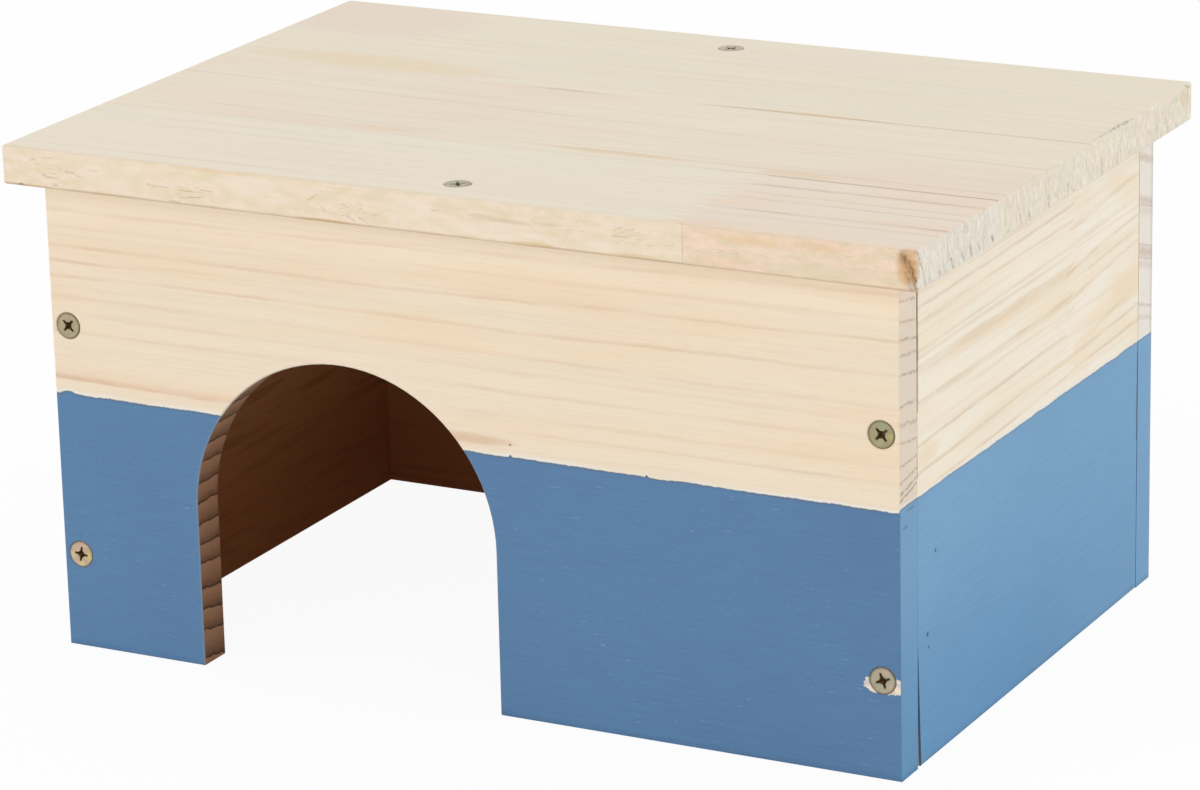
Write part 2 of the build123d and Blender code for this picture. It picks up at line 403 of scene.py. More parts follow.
def paintEdge(wood, board):
    # the height that the paint comes up to, wavy and a little ragged
    x, y, z = wood["place"]
    along, across, depth, grainSpace = wood["ways"]
    wave = (cloud(grainSpace, (9, 60, 60), 2.0, 41) - 0.5) * paint["waveHeight"]
    wave = wave + (cloud(grainSpace, (1.1, 9, 9), 2.0, 43) - 0.5) * paint["fuzzHeight"]
    (startAlong, startHeight), (endAlong, endHeight) = board["edgeFrom"], board["edgeTo"]
    edge = follow(along, startAlong, endAlong, startHeight, endHeight) + wave
    if board.get("endRise"):
        boardEnd = wallSizes["halfLength"]
        edge = edge + ease(x, boardEnd - 0.4, boardEnd, 0.0, board["endRise"])
    for middle, halfWidth, rise in board.get("edgeBumps", []):
        edge = edge + ease(abs(along - middle), halfWidth, 0.0, 0.0, rise)
    return edge


def bareWood(wood, patch):
    # 1 where the paint is rubbed off down to the wood
    x, y, z = wood["place"]
    squareness = 2.2
    reach = (abs(x - patch["x"]) / patch["halfLength"]) ** squareness
    reach = reach + (abs(z - patch["z"]) / patch["halfHeight"]) ** squareness
    reach = reach + (cloud(wood["point"], (1.5, 1.5, 0.8), 3.0, 45) - 0.5) * 1.3
    return ease(reach, 1.04, 0.94) * ease(wood["endGrain"], 0.9, 0.4)


def paintCoat(wood, board, edge, streaks):
    # blue, with streaks along the grain, pale flecks, and a darker rim at its edge and at the floor
    x, y, z = wood["place"]
    along, across, depth, grainSpace = wood["ways"]
    blotches = cloud(grainSpace, (45, 30, 30), 2.0, 49)
    fleckNoise = cloud(grainSpace, (2.4, 0.42, 0.42), 1.0, 51)
    fleckDensity = cloud(grainSpace, (30, 22, 22), 1.0, 53) * 0.16
    flecks = ease(fleckNoise + fleckDensity, 0.80, 0.88)
    # painted light and shade: the side faces take the lighter side blue, darker low towards the
    # front
    lowShadeShare = ease(z, 66.0, 4.0) * ease(y, 78.0, -30.0, 0.35, 1.0)
    litSideCoat = mixTones(lowShadeShare, paint["sideTone"], paint["shadedSideLowTone"])
    coat = mixTones(ease(abs(split(wood["facing"])[0]), 0.5, 0.9), paint["tone"], litSideCoat)
    coat = mixTones(flecks * board["fleckShare"], coat, paint["fleckTone"])
    fineStreaks = cloud(grainSpace, (9, 0.32, 0.32), 2.0, 61)
    shine = 0.94 + (streaks - 0.5) * 0.18 + (fineStreaks - 0.5) * 0.14 + blotches * 0.12
    coat = shadeTone(coat, shine)
    # painted light and shade: each board's coat fades brighten and darken its coat along the board
    for axis, low, high, start, end in board.get("coatFades", []):
        coat = shadeTone(coat, ease((x, y, z)[axis], low, high, start, end))
    rim = ease(z - edge, -0.9, -0.1) * 0.25
    coat = mixTones(rim * streaks, coat, paint["darkTone"])
    for specks, share in board.get("paintSpecks", []):
        coat = mixTones(stainMask(wood, specks) * share, coat, paint["darkTone"])
    lowest = ease(z, 2.2, 0.3) * cloud(grainSpace, (6, 2, 2), 2.0, 59)
    return mixTones(lowest * 0.5, coat, paint["darkTone"])


def addPaint(wood, board):
    # paint on the outside faces and the boards' outer ends
    x, y, z = wood["place"]
    along, across, depth, grainSpace = wood["ways"]
    colour, roughness, height = wood["colour"], wood["roughness"], wood["height"]
    boardEnd = wallSizes["halfLength"]
    outside = ease(depth, paint["wrapDepth"], paint["wrapDepth"] - 0.12)
    if board.get("paintedEnds"):
        outside = larger(outside, ease(abs(x), boardEnd - 0.3, boardEnd - 0.1))
    edge = paintEdge(wood, board)
    painted = ease(z - edge, 0.1, -0.1) * outside
    if "barePatch" in board:
        bare = bareWood(wood, board["barePatch"])
        thinPaint = ease(cloud(wood["point"], (2.4, 1.5, 1.2), 2.0, 93), 0.38, 0.62, 0.0, 0.3)
        painted = painted * (1 - bare * (1 - thinPaint))
        colour = mixTones(bare * (0.1 + wood["fibres"] * 0.3), colour, paint["rimTone"])
    streaks = cloud(grainSpace, (14, 0.9, 0.9), 3.0, 47)
    coat = paintCoat(wood, board, edge, streaks)

    # a pale halo above the paint's edge, and a thin dark line along it
    halo = ease(z - edge, 0.0, 0.2) * ease(z - edge, paint["haloHeight"], 0.4) * outside
    halo = halo * ease(cloud(grainSpace, (14, 20, 20), 1.0, 83), 0.3, 0.6, 0.25, 0.9)
    colour = mixTones(halo, colour, paint["haloTone"])
    colour = mixTones(painted, colour, coat)
    edgeLine = ease(abs(z - edge + 0.1), paint["lineHeight"], 0.05) * outside * board["edgeShare"]
    edgeLine = edgeLine * ease(streaks, 0.3, 0.6, 0.3, 1.0)
    colour = mixTones(edgeLine, colour, paint["edgeTone"])
    wood["roughness"] = roughness + painted * (0.5 - roughness)
    wood["height"] = height * (1 - painted * 0.45) + painted * 0.25 * streaks + painted * 0.5
    # worn paint at the ends' outer arrises, with painted shade of their rounding
    if board.get("wornShare"):
        wornAndShaded = ease(depth, 2.8, 0.0) * wood["endGrain"] * board["wornShare"]
        colour = mixTones(wornAndShaded * (0.6 + streaks * 0.8), colour, paint["wornAndShadedTone"])
    wood["colour"] = colour


def addEntrance(wood, board):
    # the sawn edge of the entrance, with the growth rings across it
    x, y, z = wood["place"]
    along, across, depth, grainSpace = wood["ways"]
    upper = z - wallSizes["archSpring"]
    upper = upper.maths("MAXIMUM", upper, 0.0)
    sideStep = x - wallSizes["archMiddle"]
    reach = (sideStep * sideStep + upper * upper) ** 0.5 - wallSizes["archRadius"]
    inArch = ease(reach, 0.5, 0.3)
    cut = inArch * ease(depth, 0.15, 0.35)
    # painted highlight along the entrance's front arris, stronger towards the left
    arrisHighlight = inArch * ease(depth, 0.42, 0.2)
    wobble = (cloud(grainSpace, (30, 2.5, 2.5), 1.0, 55) - 0.5) * 1.3
    slope = ease(z, wallSizes["archSpring"], 14.0, 0.0, 0.15)
    turn = ringCount(z + depth * slope + wobble, board["cutRings"])
    share = turn.maths("FRACT", turn)
    fur = cloud(wood["point"], (0.5, 3.0, 0.5), 2.0, 57) - 0.5
    shade = (1 - share) ** 1.5 * 0.9 + fur * 0.4
    line = larger(ease(share, 0.13, 0.03), ease(share, 0.985, 1.0))
    cutWood = mixTones(shade, inside["cutTone"], inside["cutLineTone"])
    cutWood = mixTones(line * 0.62, cutWood, inside["cutEdgeTone"])
    colour = mixTones(cut, wood["colour"], cutWood)
    leftShare = ease(x, -40.0, -70.0, 0.15, 0.45)
    wood["colour"] = mixTones(arrisHighlight * leftShare, colour, inside["arrisTone"])
    wood["roughness"] = wood["roughness"] + cut * (0.8 - wood["roughness"])
    wood["height"] = wood["height"] * (1 - cut) + cut * (shade - line * 0.4)


def addUnderRoofLightAndShadow(wood, board):
    # painted light and shadow: the wall is painted lighter towards the roof to take back the shade
    # under it, with a painted shadow line where the roof lies on it
    x, y, z = wood["place"]
    along, across, depth, grainSpace = wood["ways"]
    top = wallSizes["height"]
    colour = shadeTone(wood["colour"], follow(z, top - 13.5, top - 1.0, 1.0, 1.12))
    roofLine = ease(z, top - 1.5, top - 0.3) * ease(depth, 0.7, 0.4) * board["roofLine"]
    lineShare = roofLine * (0.5 + wood["fibres"] * 0.8)
    wood["colour"] = mixTones(lineShare, colour, inside["roofShadowTone"])


def addCountersinkShade(wood, board):
    # painted shade: the wood is darkened inside the countersinks, where the heads shade it
    flat = wood["point"].vectors("MULTIPLY", wood["point"], (1, 0, 1))
    for place in board["screwHoles"]:
        reach = flat.vectors("DISTANCE", flat, place)
        sinkShade = ease(reach, wallSizes["sinkRadius"], wallSizes["sinkRadius"] - 0.16) * 0.8
        wood["colour"] = mixTones(sinkShade, wood["colour"], inside["sinkShadeTone"])


def addJointShade(wood, board):
    # painted shade: dark stretches along the joints with the front and back boards, where the gaps
    # lie in shade
    x, y, z = wood["place"]
    along, across, depth, grainSpace = wood["ways"]
    wander = (cloud(wood["point"], (3, 3, 3), 1.0, 63) - 0.5) * 0.5
    marks = scratched(joined(along + wander, z), board["jointMarks"])
    wood["colour"] = mixTones(marks, wood["colour"], board["jointTone"])


def paintedBoard(name, board):
    print("painting", name)
    material = newMaterial(name)
    wood = pineSurface(material.node_tree, board)
    wood["place"] = split(wood["point"])
    addStains(wood, board)
    addIndoorShade(wood, board)
    addPaint(wood, board)
    extras = {
        "cutRings": addEntrance,
        "roofLine": addUnderRoofLightAndShadow,
        "screwHoles": addCountersinkShade,
        "jointMarks": addJointShade,
    }
    for key, addExtra in extras.items():
        if board.get(key):
            addExtra(wood, board)
    finishMaterial(wood, relief=0.09, shine=0.28)
    return material


pineTones = {
    "patchSize": (85, 13, 13),
    "warmTone": tone(240, 208, 168),
    "lineTone": tone(216, 180, 146),
    "endTone": tone(225, 211, 191),
    "endLineTone": tone(166, 144, 122),
    "endLineShare": 0.8,
    "endGrit": 0.1,
    "endFan": 0.0,
    "endWander": 0.9,
    "endBroken": 0.3,
    "lineShare": 0.55,
    "faintShare": 0.12,
    "ductShare": 0.25,
    "fleckShare": 0.65,
    "edgeShare": 0.3,
}

frontBoard = {
    **pineTones,
    "axes": lambda x, y, z: (x, z, y + wallSizes["halfDepth"]),
    "grainAxis": 0,
    "seed": 2.0,
    "tilt": 0.15,
    "drift": 1.4,
    "ringPitch": 5.8,
    "ringShare": 0.12,
    "tone": tone(236, 220, 197),
    "lineTone": tone(217, 183, 155),
    "warmShare": 0.4,
    "fleckShare": 0.5,
    "edgeShare": 0.7,
    "endTone": tone(224, 209, 191),
    "endLineTone": tone(150, 130, 110),
    "endFan": -0.4,
    "strokes": [
        (-140, 120.3, 0, 122.4, 0.6, 1.3), (0, 123.0, 140, 125.0, 0.55, 1.3),
        (-140, 115.8, -60, 117.0, 0.3, 1.6), (0, 117.6, 140, 118.8, 0.35, 1.6),
        (-140, 111.0, -20, 111.0, 0.8, 1.1), (-20, 111.0, 50, 112.9, 0.8, 1.1),
        (50, 112.6, 140, 113.2, 0.8, 1.1), (-140, 107.2, -104, 107.0, 0.9, 1.2),
        (-104, 107.4, -50, 108.4, 0.35, 1.3), (0, 108.4, 140, 109.2, 0.25, 1.3),
        (-140, 102.5, -50, 104.0, 0.7, 1.3), (-50, 104.0, 20, 103.6, 0.7, 1.3),
        (20, 103.8, 140, 105.0, 0.7, 1.3), (-140, 99.6, -66, 100.4, 0.3, 1.5),
        (-140, 97.2, -30, 97.4, 0.55, 1.8), (-30, 97.2, 50, 97.0, 0.65, 1.3),
        (50, 96.4, 140, 96.4, 0.6, 1.5), (-110, 92.6, 40, 92.8, 0.4, 2.0),
        (40, 93.0, 140, 92.2, 0.5, 1.8), (-140, 87.6, -40, 88.2, 0.55, 1.2),
        (0, 87.4, 140, 88.0, 0.55, 1.2), (0, 81.0, 140, 82.0, 0.45, 1.6),
        (20, 77.2, 140, 77.5, 0.55, 1.0), (20, 71.6, 70, 73.2, 0.3, 1.0),
        (-140, 75.4, -66, 74.9, 1.5, 2.2), (-140, 75.4, -80, 76.0, 0.6, 3.2),
        (-8, 73.2, 9, 73.6, 1.3, 3.0),
    ],
    "stains": [
        ([(3, 74.1, 0, 16, 1.6, 1, 0.65)], tone(218, 186, 156)),
        ([(14.5, 73.7, 0, 0.5, 0.4, 1, 0.75)], tone(140, 96, 64)),
    ],
    "endLines": [
        (123.5, 0.7, 0.5), (118.3, 0.7, 0.45), (113.6, 0.7, 0.6),
        (109.8, 0.7, 0.45), (105.0, 0.6, 0.75), (97.3, 0.7, 0.5),
        (92.6, 0.9, 0.5), (87.9, 0.7, 0.55), (81.9, 0.6, 0.65),
        (77.6, 0.8, 0.6), (74.6, 0.8, 0.8), (72.8, 0.7, 0.7),
    ],
    "paintedEnds": True,
    "paintSpecks": [
        ([(122, 65.6, 3, 2, 0.7, 2, 1.0), (122, 69.6, 6, 2, 0.5, 3, 1.0)], 0.45),
        ([(14.4, 70.9, 0, 0.7, 0.7, 1, 1.0), (53, 70.6, 0, 0.6, 0.6, 1, 1.0)], 0.7),
    ],
    "edgeFrom": (-122, 70.8),
    "edgeTo": (122, 70.0),
    "endRise": 1.0,
    # painted shade: the front's paint darkens towards the right
    "coatFades": [(0, -70, 40, 1.0, 0.975), (0, 30, 118, 1.0, 0.965)],
    "roofLine": 0.5,
    "screwHoles": [(-117, 0, 89.5), (-117, 0, 26), (117, 0, 89.5), (117, 0, 26)],
    "edgeBumps": [(-118, 3.5, 0.8), (14.5, 0.6, 0.6), (53, 0.6, 0.5)],
    "barePatch": {"x": 117.8, "z": 24.95, "halfLength": 5.9, "halfHeight": 2.45},
    "cutRings": [
        *(-3.6, 2.2, 10.0, 15.6, 21.4, 28.4, 33.6, 39.1, 45.0),
        *(50.6, 56.6, 62.2, 68.4, 74.0, 80.2, 86.0, 92.0),
    ],
}

backBoard = {
    **pineTones,
    "axes": lambda x, y, z: (x, z, wallSizes["halfDepth"] - y),
    "grainAxis": 0,
    "seed": 14.0,
    "tilt": -0.3,
    "drift": 0.0,
    "ringPitch": 6.4,
    "ringShare": 0.1,
    "tone": tone(238, 223, 200),
    "warmShare": 0.3,
    "endTone": tone(234, 227, 217),
    "endLineTone": tone(188, 160, 142),
    "endLines": [
        (118.6, 1.5, 0.45), (117.7, 0.5, 0.45), (106.8, 1.9, 0.5),
        (105.5, 0.7, 0.55), (104.0, 2.2, 0.25), (94.4, 0.6, 0.45),
        (92.6, 2.6, 0.6), (90.9, 0.6, 0.55), (89.0, 2.2, 0.3),
        (77.8, 0.9, 0.45), (74.2, 1.3, 0.3),
    ],
    "endWander": 0.5,
    "endBroken": 0.75,
    "strokes": [
        (-140, 124.6, 140, 126.0, 0.4, 1.2), (-140, 117.4, 140, 119.8, 0.6, 1.0),
        (-140, 115.6, 140, 118.3, 0.6, 1.0), (-140, 111.0, 20, 112.4, 0.4, 1.2),
        (-140, 103.8, 140, 106.2, 1.1, 1.9), (-140, 98.2, 60, 99.0, 0.35, 1.4),
        (-140, 90.0, 140, 91.2, 1.1, 2.6), (-140, 84.4, 20, 84.0, 0.4, 1.4),
        (-140, 79.2, 140, 78.0, 0.5, 1.2), (-140, 75.8, 140, 74.6, 0.5, 1.2),
    ],
    "paintedEnds": True,
    "roomHalf": 112.0,
    "wornShare": 0.4,
    "edgeFrom": (-122, 70.2),
    "edgeTo": (122, 70.3),
    # painted light: the back board's right end is painted lighter
    "coatFades": [(0, 121.6, 122.0, 1.0, 1.05)],
    "screwHoles": [(-117, 0, 89.5), (-117, 0, 26), (117, 0, 89.5), (117, 0, 26)],
}

leftBoard = {
    **pineTones,
    "axes": lambda x, y, z: (y, z, x + wallSizes["halfLength"]),
    "grainAxis": 1,
    "seed": 26.0,
    "tilt": 0.5,
    "drift": 2.6,
    "ringPitch": 6.5,
    "ringShare": 0.12,
    "tone": tone(240, 226, 202),
    "warmShare": 0.35,
    "strokes": [
        (-90, 124.0, 90, 125.4, 0.4, 1.4), (-90, 119.2, 90, 121.4, 0.7, 1.3),
        (-90, 113.6, 90, 114.8, 0.6, 1.5), (-90, 108.4, 30, 109.6, 0.45, 1.3),
        (-90, 104.6, 90, 105.0, 0.8, 1.5), (-90, 98.4, 90, 97.0, 0.7, 2.0),
        (-90, 91.8, 90, 91.2, 0.8, 1.5), (-30, 87.0, 90, 87.6, 0.4, 1.3),
        (-90, 83.0, 90, 82.0, 0.7, 1.4), (-90, 77.0, 90, 76.6, 0.6, 1.4),
        (-90, 72.6, 20, 72.4, 0.5, 1.2),
    ],
    "edgeFrom": (-83, 70.8),
    "edgeTo": (83, 70.3),
}

rightBoard = {
    **pineTones,
    "axes": lambda x, y, z: (y, z, wallSizes["halfLength"] - x),
    "grainAxis": 1,
    "tilt": 0.25,
    "drift": 0.8,
    "ringPitch": 9.0,
    "ringShare": 0.1,
    "tone": tone(242, 233, 216),
    "lineTone": tone(208, 179, 140),
    "warmTone": tone(240, 216, 180),
    "warmShare": 0.4,
    "lineShare": 0.62,
    "faintShare": 0.16,
    "fleckShare": 0.35,
    # painted shade in the joints' gaps
    "jointTone": tone(74, 60, 40),
    "edgeFrom": (-73, 71.1),
    "edgeTo": (83, 70.3),
}

rightFrontLength = {
    **rightBoard,
    "seed": 38.0,
    "strokes": [
        (-90, 122.3, 40, 122.2, 0.35, 1.2), (-90, 118.6, 40, 120.0, 0.8, 1.2),
        (-90, 115.0, 40, 115.8, 0.65, 1.2), (-90, 107.6, 40, 109.0, 0.55, 1.3),
        (-90, 106.0, 40, 106.8, 0.5, 1.5), (-90, 104.2, 40, 103.6, 0.6, -4.6),
        (-90, 94.8, 40, 95.8, 0.7, -2.6), (-40, 91.6, 40, 91.8, 0.4, 1.2),
        (-90, 83.4, 40, 86.6, 0.9, 1.2), (-90, 75.8, -5, 79.0, 0.7, 1.3),
        (-5, 78.4, 40, 79.6, 0.5, 1.2), (-60, 71.8, 40, 75.0, 0.7, 1.3),
    ],
    "stains": [
        ([(-67, 80.5, 0, 10, 3.4, 3, 0.4), (-20, 102, 0, 60, 2.6, 3, 0.22)], tone(232, 202, 158)),
    ],
    "paintSpecks": [
        (
            [
                (-62, 54, 0, 0.7, 0.6, 1, 1.0),
                (-67, 33.6, 0, 0.9, 0.9, 1, 1.0),
                (-66.4, 30, 0, 0.7, 0.6, 1, 1.0),
            ],
            1.0,
        ),
    ],
    "jointMarks": [
        (-72.8, 106, -72.8, 124, 0.9, 0.9), (-72.8, 93, -72.8, 108, 0.8, 0.75),
        (-72.9, 76, -72.9, 94, 0.5, 0.5), (-73, 30, -73, 50, 0.35, 0.35),
        (-73, 8, -73, 28, 0.6, 0.6),
    ],
}

rightBackLength = {
    **rightBoard,
    "seed": 50.0,
    "jointTone": tone(58, 74, 92),
    "patchSize": (40, 10, 10),
    "tone": tone(243, 235, 220),
    "warmShare": 0.5,
    "strokes": [
        (10, 121.0, 76, 121.8, 0.25, 1.4), (10, 111.8, 50, 115.6, 0.55, 1.8),
        (50, 115.6, 76, 117.2, 0.5, 1.8), (10, 108.6, 76, 110.8, 0.4, 2.0),
        (10, 100.6, 48, 104.6, 0.9, 1.1), (48, 104.6, 76, 106.0, 0.8, 1.1),
        (20, 99.0, 76, 102.2, 0.5, 1.1), (10, 92.4, 42, 96.4, 0.6, 1.2),
        (42, 96.4, 76, 98.8, 0.5, 1.2), (36, 81.6, 60, 84.6, 0.6, 1.6),
        (10, 78.6, 48, 79.8, 0.6, 1.2), (48, 79.8, 76, 81.2, 0.6, 1.2),
        (10, 74.8, 76, 76.4, 0.7, 1.2),
    ],
    "stains": [([(64, 88, 0, 16, 6, 3, 0.4)], tone(234, 208, 164))],
    "jointMarks": [
        (72.9, 76, 72.9, 124, 0.5, 0.25), (72.7, 59, 72.7, 67, 0.8, 0.75),
        (72.6, 43, 72.6, 58, 0.9, 0.8), (72.8, 34, 72.8, 41, 0.6, 0.6),
        (72.8, 27, 72.8, 31, 0.6, 0.6),
    ],
}

# Roof

roofSizes = {"top": 139.0, "thickness": 10.5, "halfLength": 130.0, "halfDepth": 90.0}


def addFrontEdge(wood, board):
    # the front edge is warmer and mottled, and fades into the top over its arris
    along, across, depth, grainSpace = wood["ways"]
    roofEnd, roofFront = roofSizes["halfLength"], -roofSizes["halfDepth"]
    colour = wood["colour"]
    wear = (cloud(grainSpace, (16, 1.2, 1.2), 2.0, 39) - 0.5) * 2.2
    frontEdge = ease(depth - (across + roofSizes["halfDepth"]) + wear, -2.0, 0.8)
    frontEdge = frontEdge * ease(across, roofFront + 6.0, roofFront + 1.5)
    frontEdge = frontEdge * (1 - ease(along, roofEnd - 0.6, roofEnd - 0.2))
    mottle = cloud(grainSpace, (7, 2.4, 2.4), 3.0, 65)
    edgeTone = mixTones(ease(mottle, 0.4, 0.6), board["edgeTone"], board["edgePinkTone"])
    colour = mixTones(frontEdge * 0.65, colour, edgeTone)
    flakes = ease(cloud(grainSpace, (1.8, 0.6, 0.6), 1.0, 85), 0.62, 0.74) * ease(mottle, 0.5, 0.64)
    colour = mixTones(flakes * frontEdge * board["flakeShare"], colour, board["flakeTone"])
    edgeGrit = (cloud(grainSpace, (2.2, 0.6, 0.6), 2.0, 89) - 0.5) * board["edgeGrit"]
    colour = shadeTone(colour, 1.0 + (edgeGrit + (mottle - 0.5) * 0.12) * frontEdge)
    # painted shade: the top front arris, which faces up and forward, is darkened a little against
    # the light it catches
    sideways, forwards, upwards = split(wood["facing"])
    arrisPaintedShade = ease(upwards, 0.1, 0.5) * ease(forwards, -0.1, -0.5)
    wood["colour"] = shadeTone(colour, 1.0 - arrisPaintedShade * 0.05)


def addPores(wood, board):
    # the pores show as dark dashes
    along, across, depth, grainSpace = wood["ways"]
    pores = ease(cloud(grainSpace, (2.4, 0.6, 0.3), 1.0, 33), 0.6, 0.72)
    pores = pores * stainMask(wood, board["poreAreas"])
    wood["colour"] = mixTones(pores, wood["colour"], board["poreTone"])


def addFrontMarks(wood, board):
    # scratches and a knot in the front edge, and painted shade along its lower arris, which faces
    # down
    along, across, depth, grainSpace = wood["ways"]
    colour = wood["colour"]
    front = ease(across, 1.0 - roofSizes["halfDepth"], 0.3 - roofSizes["halfDepth"])
    if board.get("edgeMarks"):
        shaky = cloud(grainSpace, (2.2, 2.2, 2.2), 2.0, 67) - 0.5
        marks = scratched(joined(along + shaky, depth + shaky * 0.6), board["edgeMarks"]) * front
        marks = marks * ease(cloud(grainSpace, (1.3, 0.5, 0.5), 1.0, 69), 0.3, 0.6, 0.3, 0.95)
        colour = mixTones(marks, colour, board["poreTone"])
    if board.get("knotMarks"):
        shaky = cloud(wood["point"], (0.9, 0.9, 0.9), 3.0, 71)
        spot = joined(along + (shaky - 0.5) * 2.2, depth + (shaky - 0.5) * 1.2)
        marks = scratched(spot, board["knotMarks"]) * front * ease(shaky, 0.3, 0.62, 1.0, 0.35)
        colour = mixTones(marks, colour, board["knotTone"])
    # painted shade along the lower arris, which faces down
    lowArrisShade = ease(depth, roofSizes["thickness"] - 1.0, roofSizes["thickness"] - 0.4) * front
    lowArrisShade = lowArrisShade * ease(cloud(grainSpace, (22, 3, 3), 2.0, 73), 0.25, 0.7, 0.2, 0.75)
    wood["colour"] = mixTones(lowArrisShade, colour, board["arrisTone"])


def addSawnEnds(wood, board):
    # the right and left ends: leaning rings, with dark ticks at the lower arris
    along, across, depth, grainSpace = wood["ways"]
    end = wood["endGrain"]
    lean = across - depth * board["lean"]
    leaning = joined(along, lean, depth)
    furrows = cloud(leaning, (9, 0.8, 2.8), 3.0, 35) - 0.5
    pinkness = ease(cloud(leaning, (9, 2.6, 7), 2.0, 75), 0.4, 0.6) * end * board["endPinkShare"]
    colour = mixTones(pinkness, wood["colour"], board["endPinkTone"])
    colour = shadeTone(colour, 1.0 + furrows * end * board["furrowShare"])
    torn = ease(cloud(leaning, (9, 0.5, 1.6), 2.0, 87), 0.62, 0.76) * end * board["tornShare"]
    colour = mixTones(torn, colour, board["flakeTone"])
    ticks = thinLines(lean, [(place, 0.9, 1.0) for place in board["ticks"]])
    ticks = ticks * ease(depth, 6.0, 9.6)
    ticks = ticks * ease(cloud(grainSpace, (4, 1.2, 1.2), 1.0, 37), 0.3, 0.6)
    ticks = ticks * ease(along, 0.0, -1.0)
    if board.get("endMarks"):
        shaky = cloud(wood["point"], (1.6, 1.6, 1.6), 2.0, 77) - 0.5
        spot = joined(across + shaky * 1.2, depth + shaky * 0.8)
        broken = ease(cloud(wood["point"], (1.1, 1.1, 1.1), 2.0, 91), 0.36, 0.6, 0.3, 1.0)
        rightEnd = ease(along, roofSizes["halfLength"] - 1.4, roofSizes["halfLength"] - 0.4)
        ticks = larger(ticks, scratched(spot, board["endMarks"]) * rightEnd * broken)
    wood["colour"] = mixTones(ticks, colour, board["tickTone"])


def addUnderside(wood):
    # painted shade: the underside inside the walls takes the same darker brown as the faces of the
    # walls there, standing in for the shade in the house
    along, across, depth, grainSpace = wood["ways"]
    x, y, z = split(wood["point"])
    roomHalfLength = wallSizes["halfLength"] - wallSizes["thickness"]
    roomHalfDepth = wallSizes["halfDepth"] - wallSizes["thickness"]
    indoors = (
        ease(depth, roofSizes["thickness"] - 0.3, roofSizes["thickness"] - 0.1)
        * ease(abs(x), roomHalfLength + 0.2, roomHalfLength - 0.2)
        * ease(abs(y), roomHalfDepth + 0.2, roomHalfDepth - 0.2)
    )
    shadedRoughWood = mixTones(wood["rings"] * 0.5, inside["highTone"], inside["lineTone"])
    shadedRoughWood = shadeTone(shadedRoughWood, 0.75 + wood["fibres"] * 0.3)
    wood["colour"] = mixTones(indoors, wood["colour"], shadedRoughWood)


def roofStave(name, board):
    print("sanding", name)
    material = newMaterial(name)
    wood = pineSurface(material.node_tree, board)
    along, across, depth, grainSpace = wood["ways"]
    addFrontEdge(wood, board)
    addStains(wood, board)
    if board.get("poreAreas"):
        addPores(wood, board)
    addFrontMarks(wood, board)

    # the glue lines between the staves
    seams = grainLines(across, along, board["seams"]) * (1 - wood["endGrain"])
    wood["colour"] = mixTones(seams, wood["colour"], board["seamTone"])
    addSawnEnds(wood, board)
    addUnderside(wood)
    finishMaterial(wood, relief=0.07, shine=0.3)
    return material


roofBoard = {
    **pineTones,
    "patchSize": (110, 30, 30),
    "warmTone": tone(238, 220, 203),
    "lineTone": tone(206, 184, 160),
    "endTone": tone(228, 221, 202),
    "endPinkTone": tone(230, 215, 198),
    "endLineTone": tone(204, 192, 172),
    "endLineShare": 0.4,
    "endGrit": 0.62,
    "endPinkShare": 0.6,
    "furrowShare": 0.52,
    "edgeGrit": 0.08,
    "tornShare": 0.35,
    "flakeShare": 0.5,
    "flakeTone": tone(244, 236, 222),
    "edgeTone": tone(228, 207, 171),
    "edgePinkTone": tone(236, 212, 190),
    # painted shade along the front edge's lower arris
    "arrisTone": tone(196, 164, 130),
    "poreTone": tone(176, 150, 120),
    "knotTone": tone(120, 80, 44),
    "seamTone": tone(150, 124, 98),
    "tickTone": tone(116, 102, 88),
    "axes": lambda x, y, z: (x, y, roofSizes["top"] - z),
    "grainAxis": 0,
    "tilt": 0.2,
    "lean": 0.5,
    "drift": 1.6,
    "ringPitch": 6.5,
    "ringShare": 0.1,
    "tone": tone(236, 228, 210),
    "warmShare": 0.7,
    "lineShare": 0.7,
    "faintShare": 0.16,
}

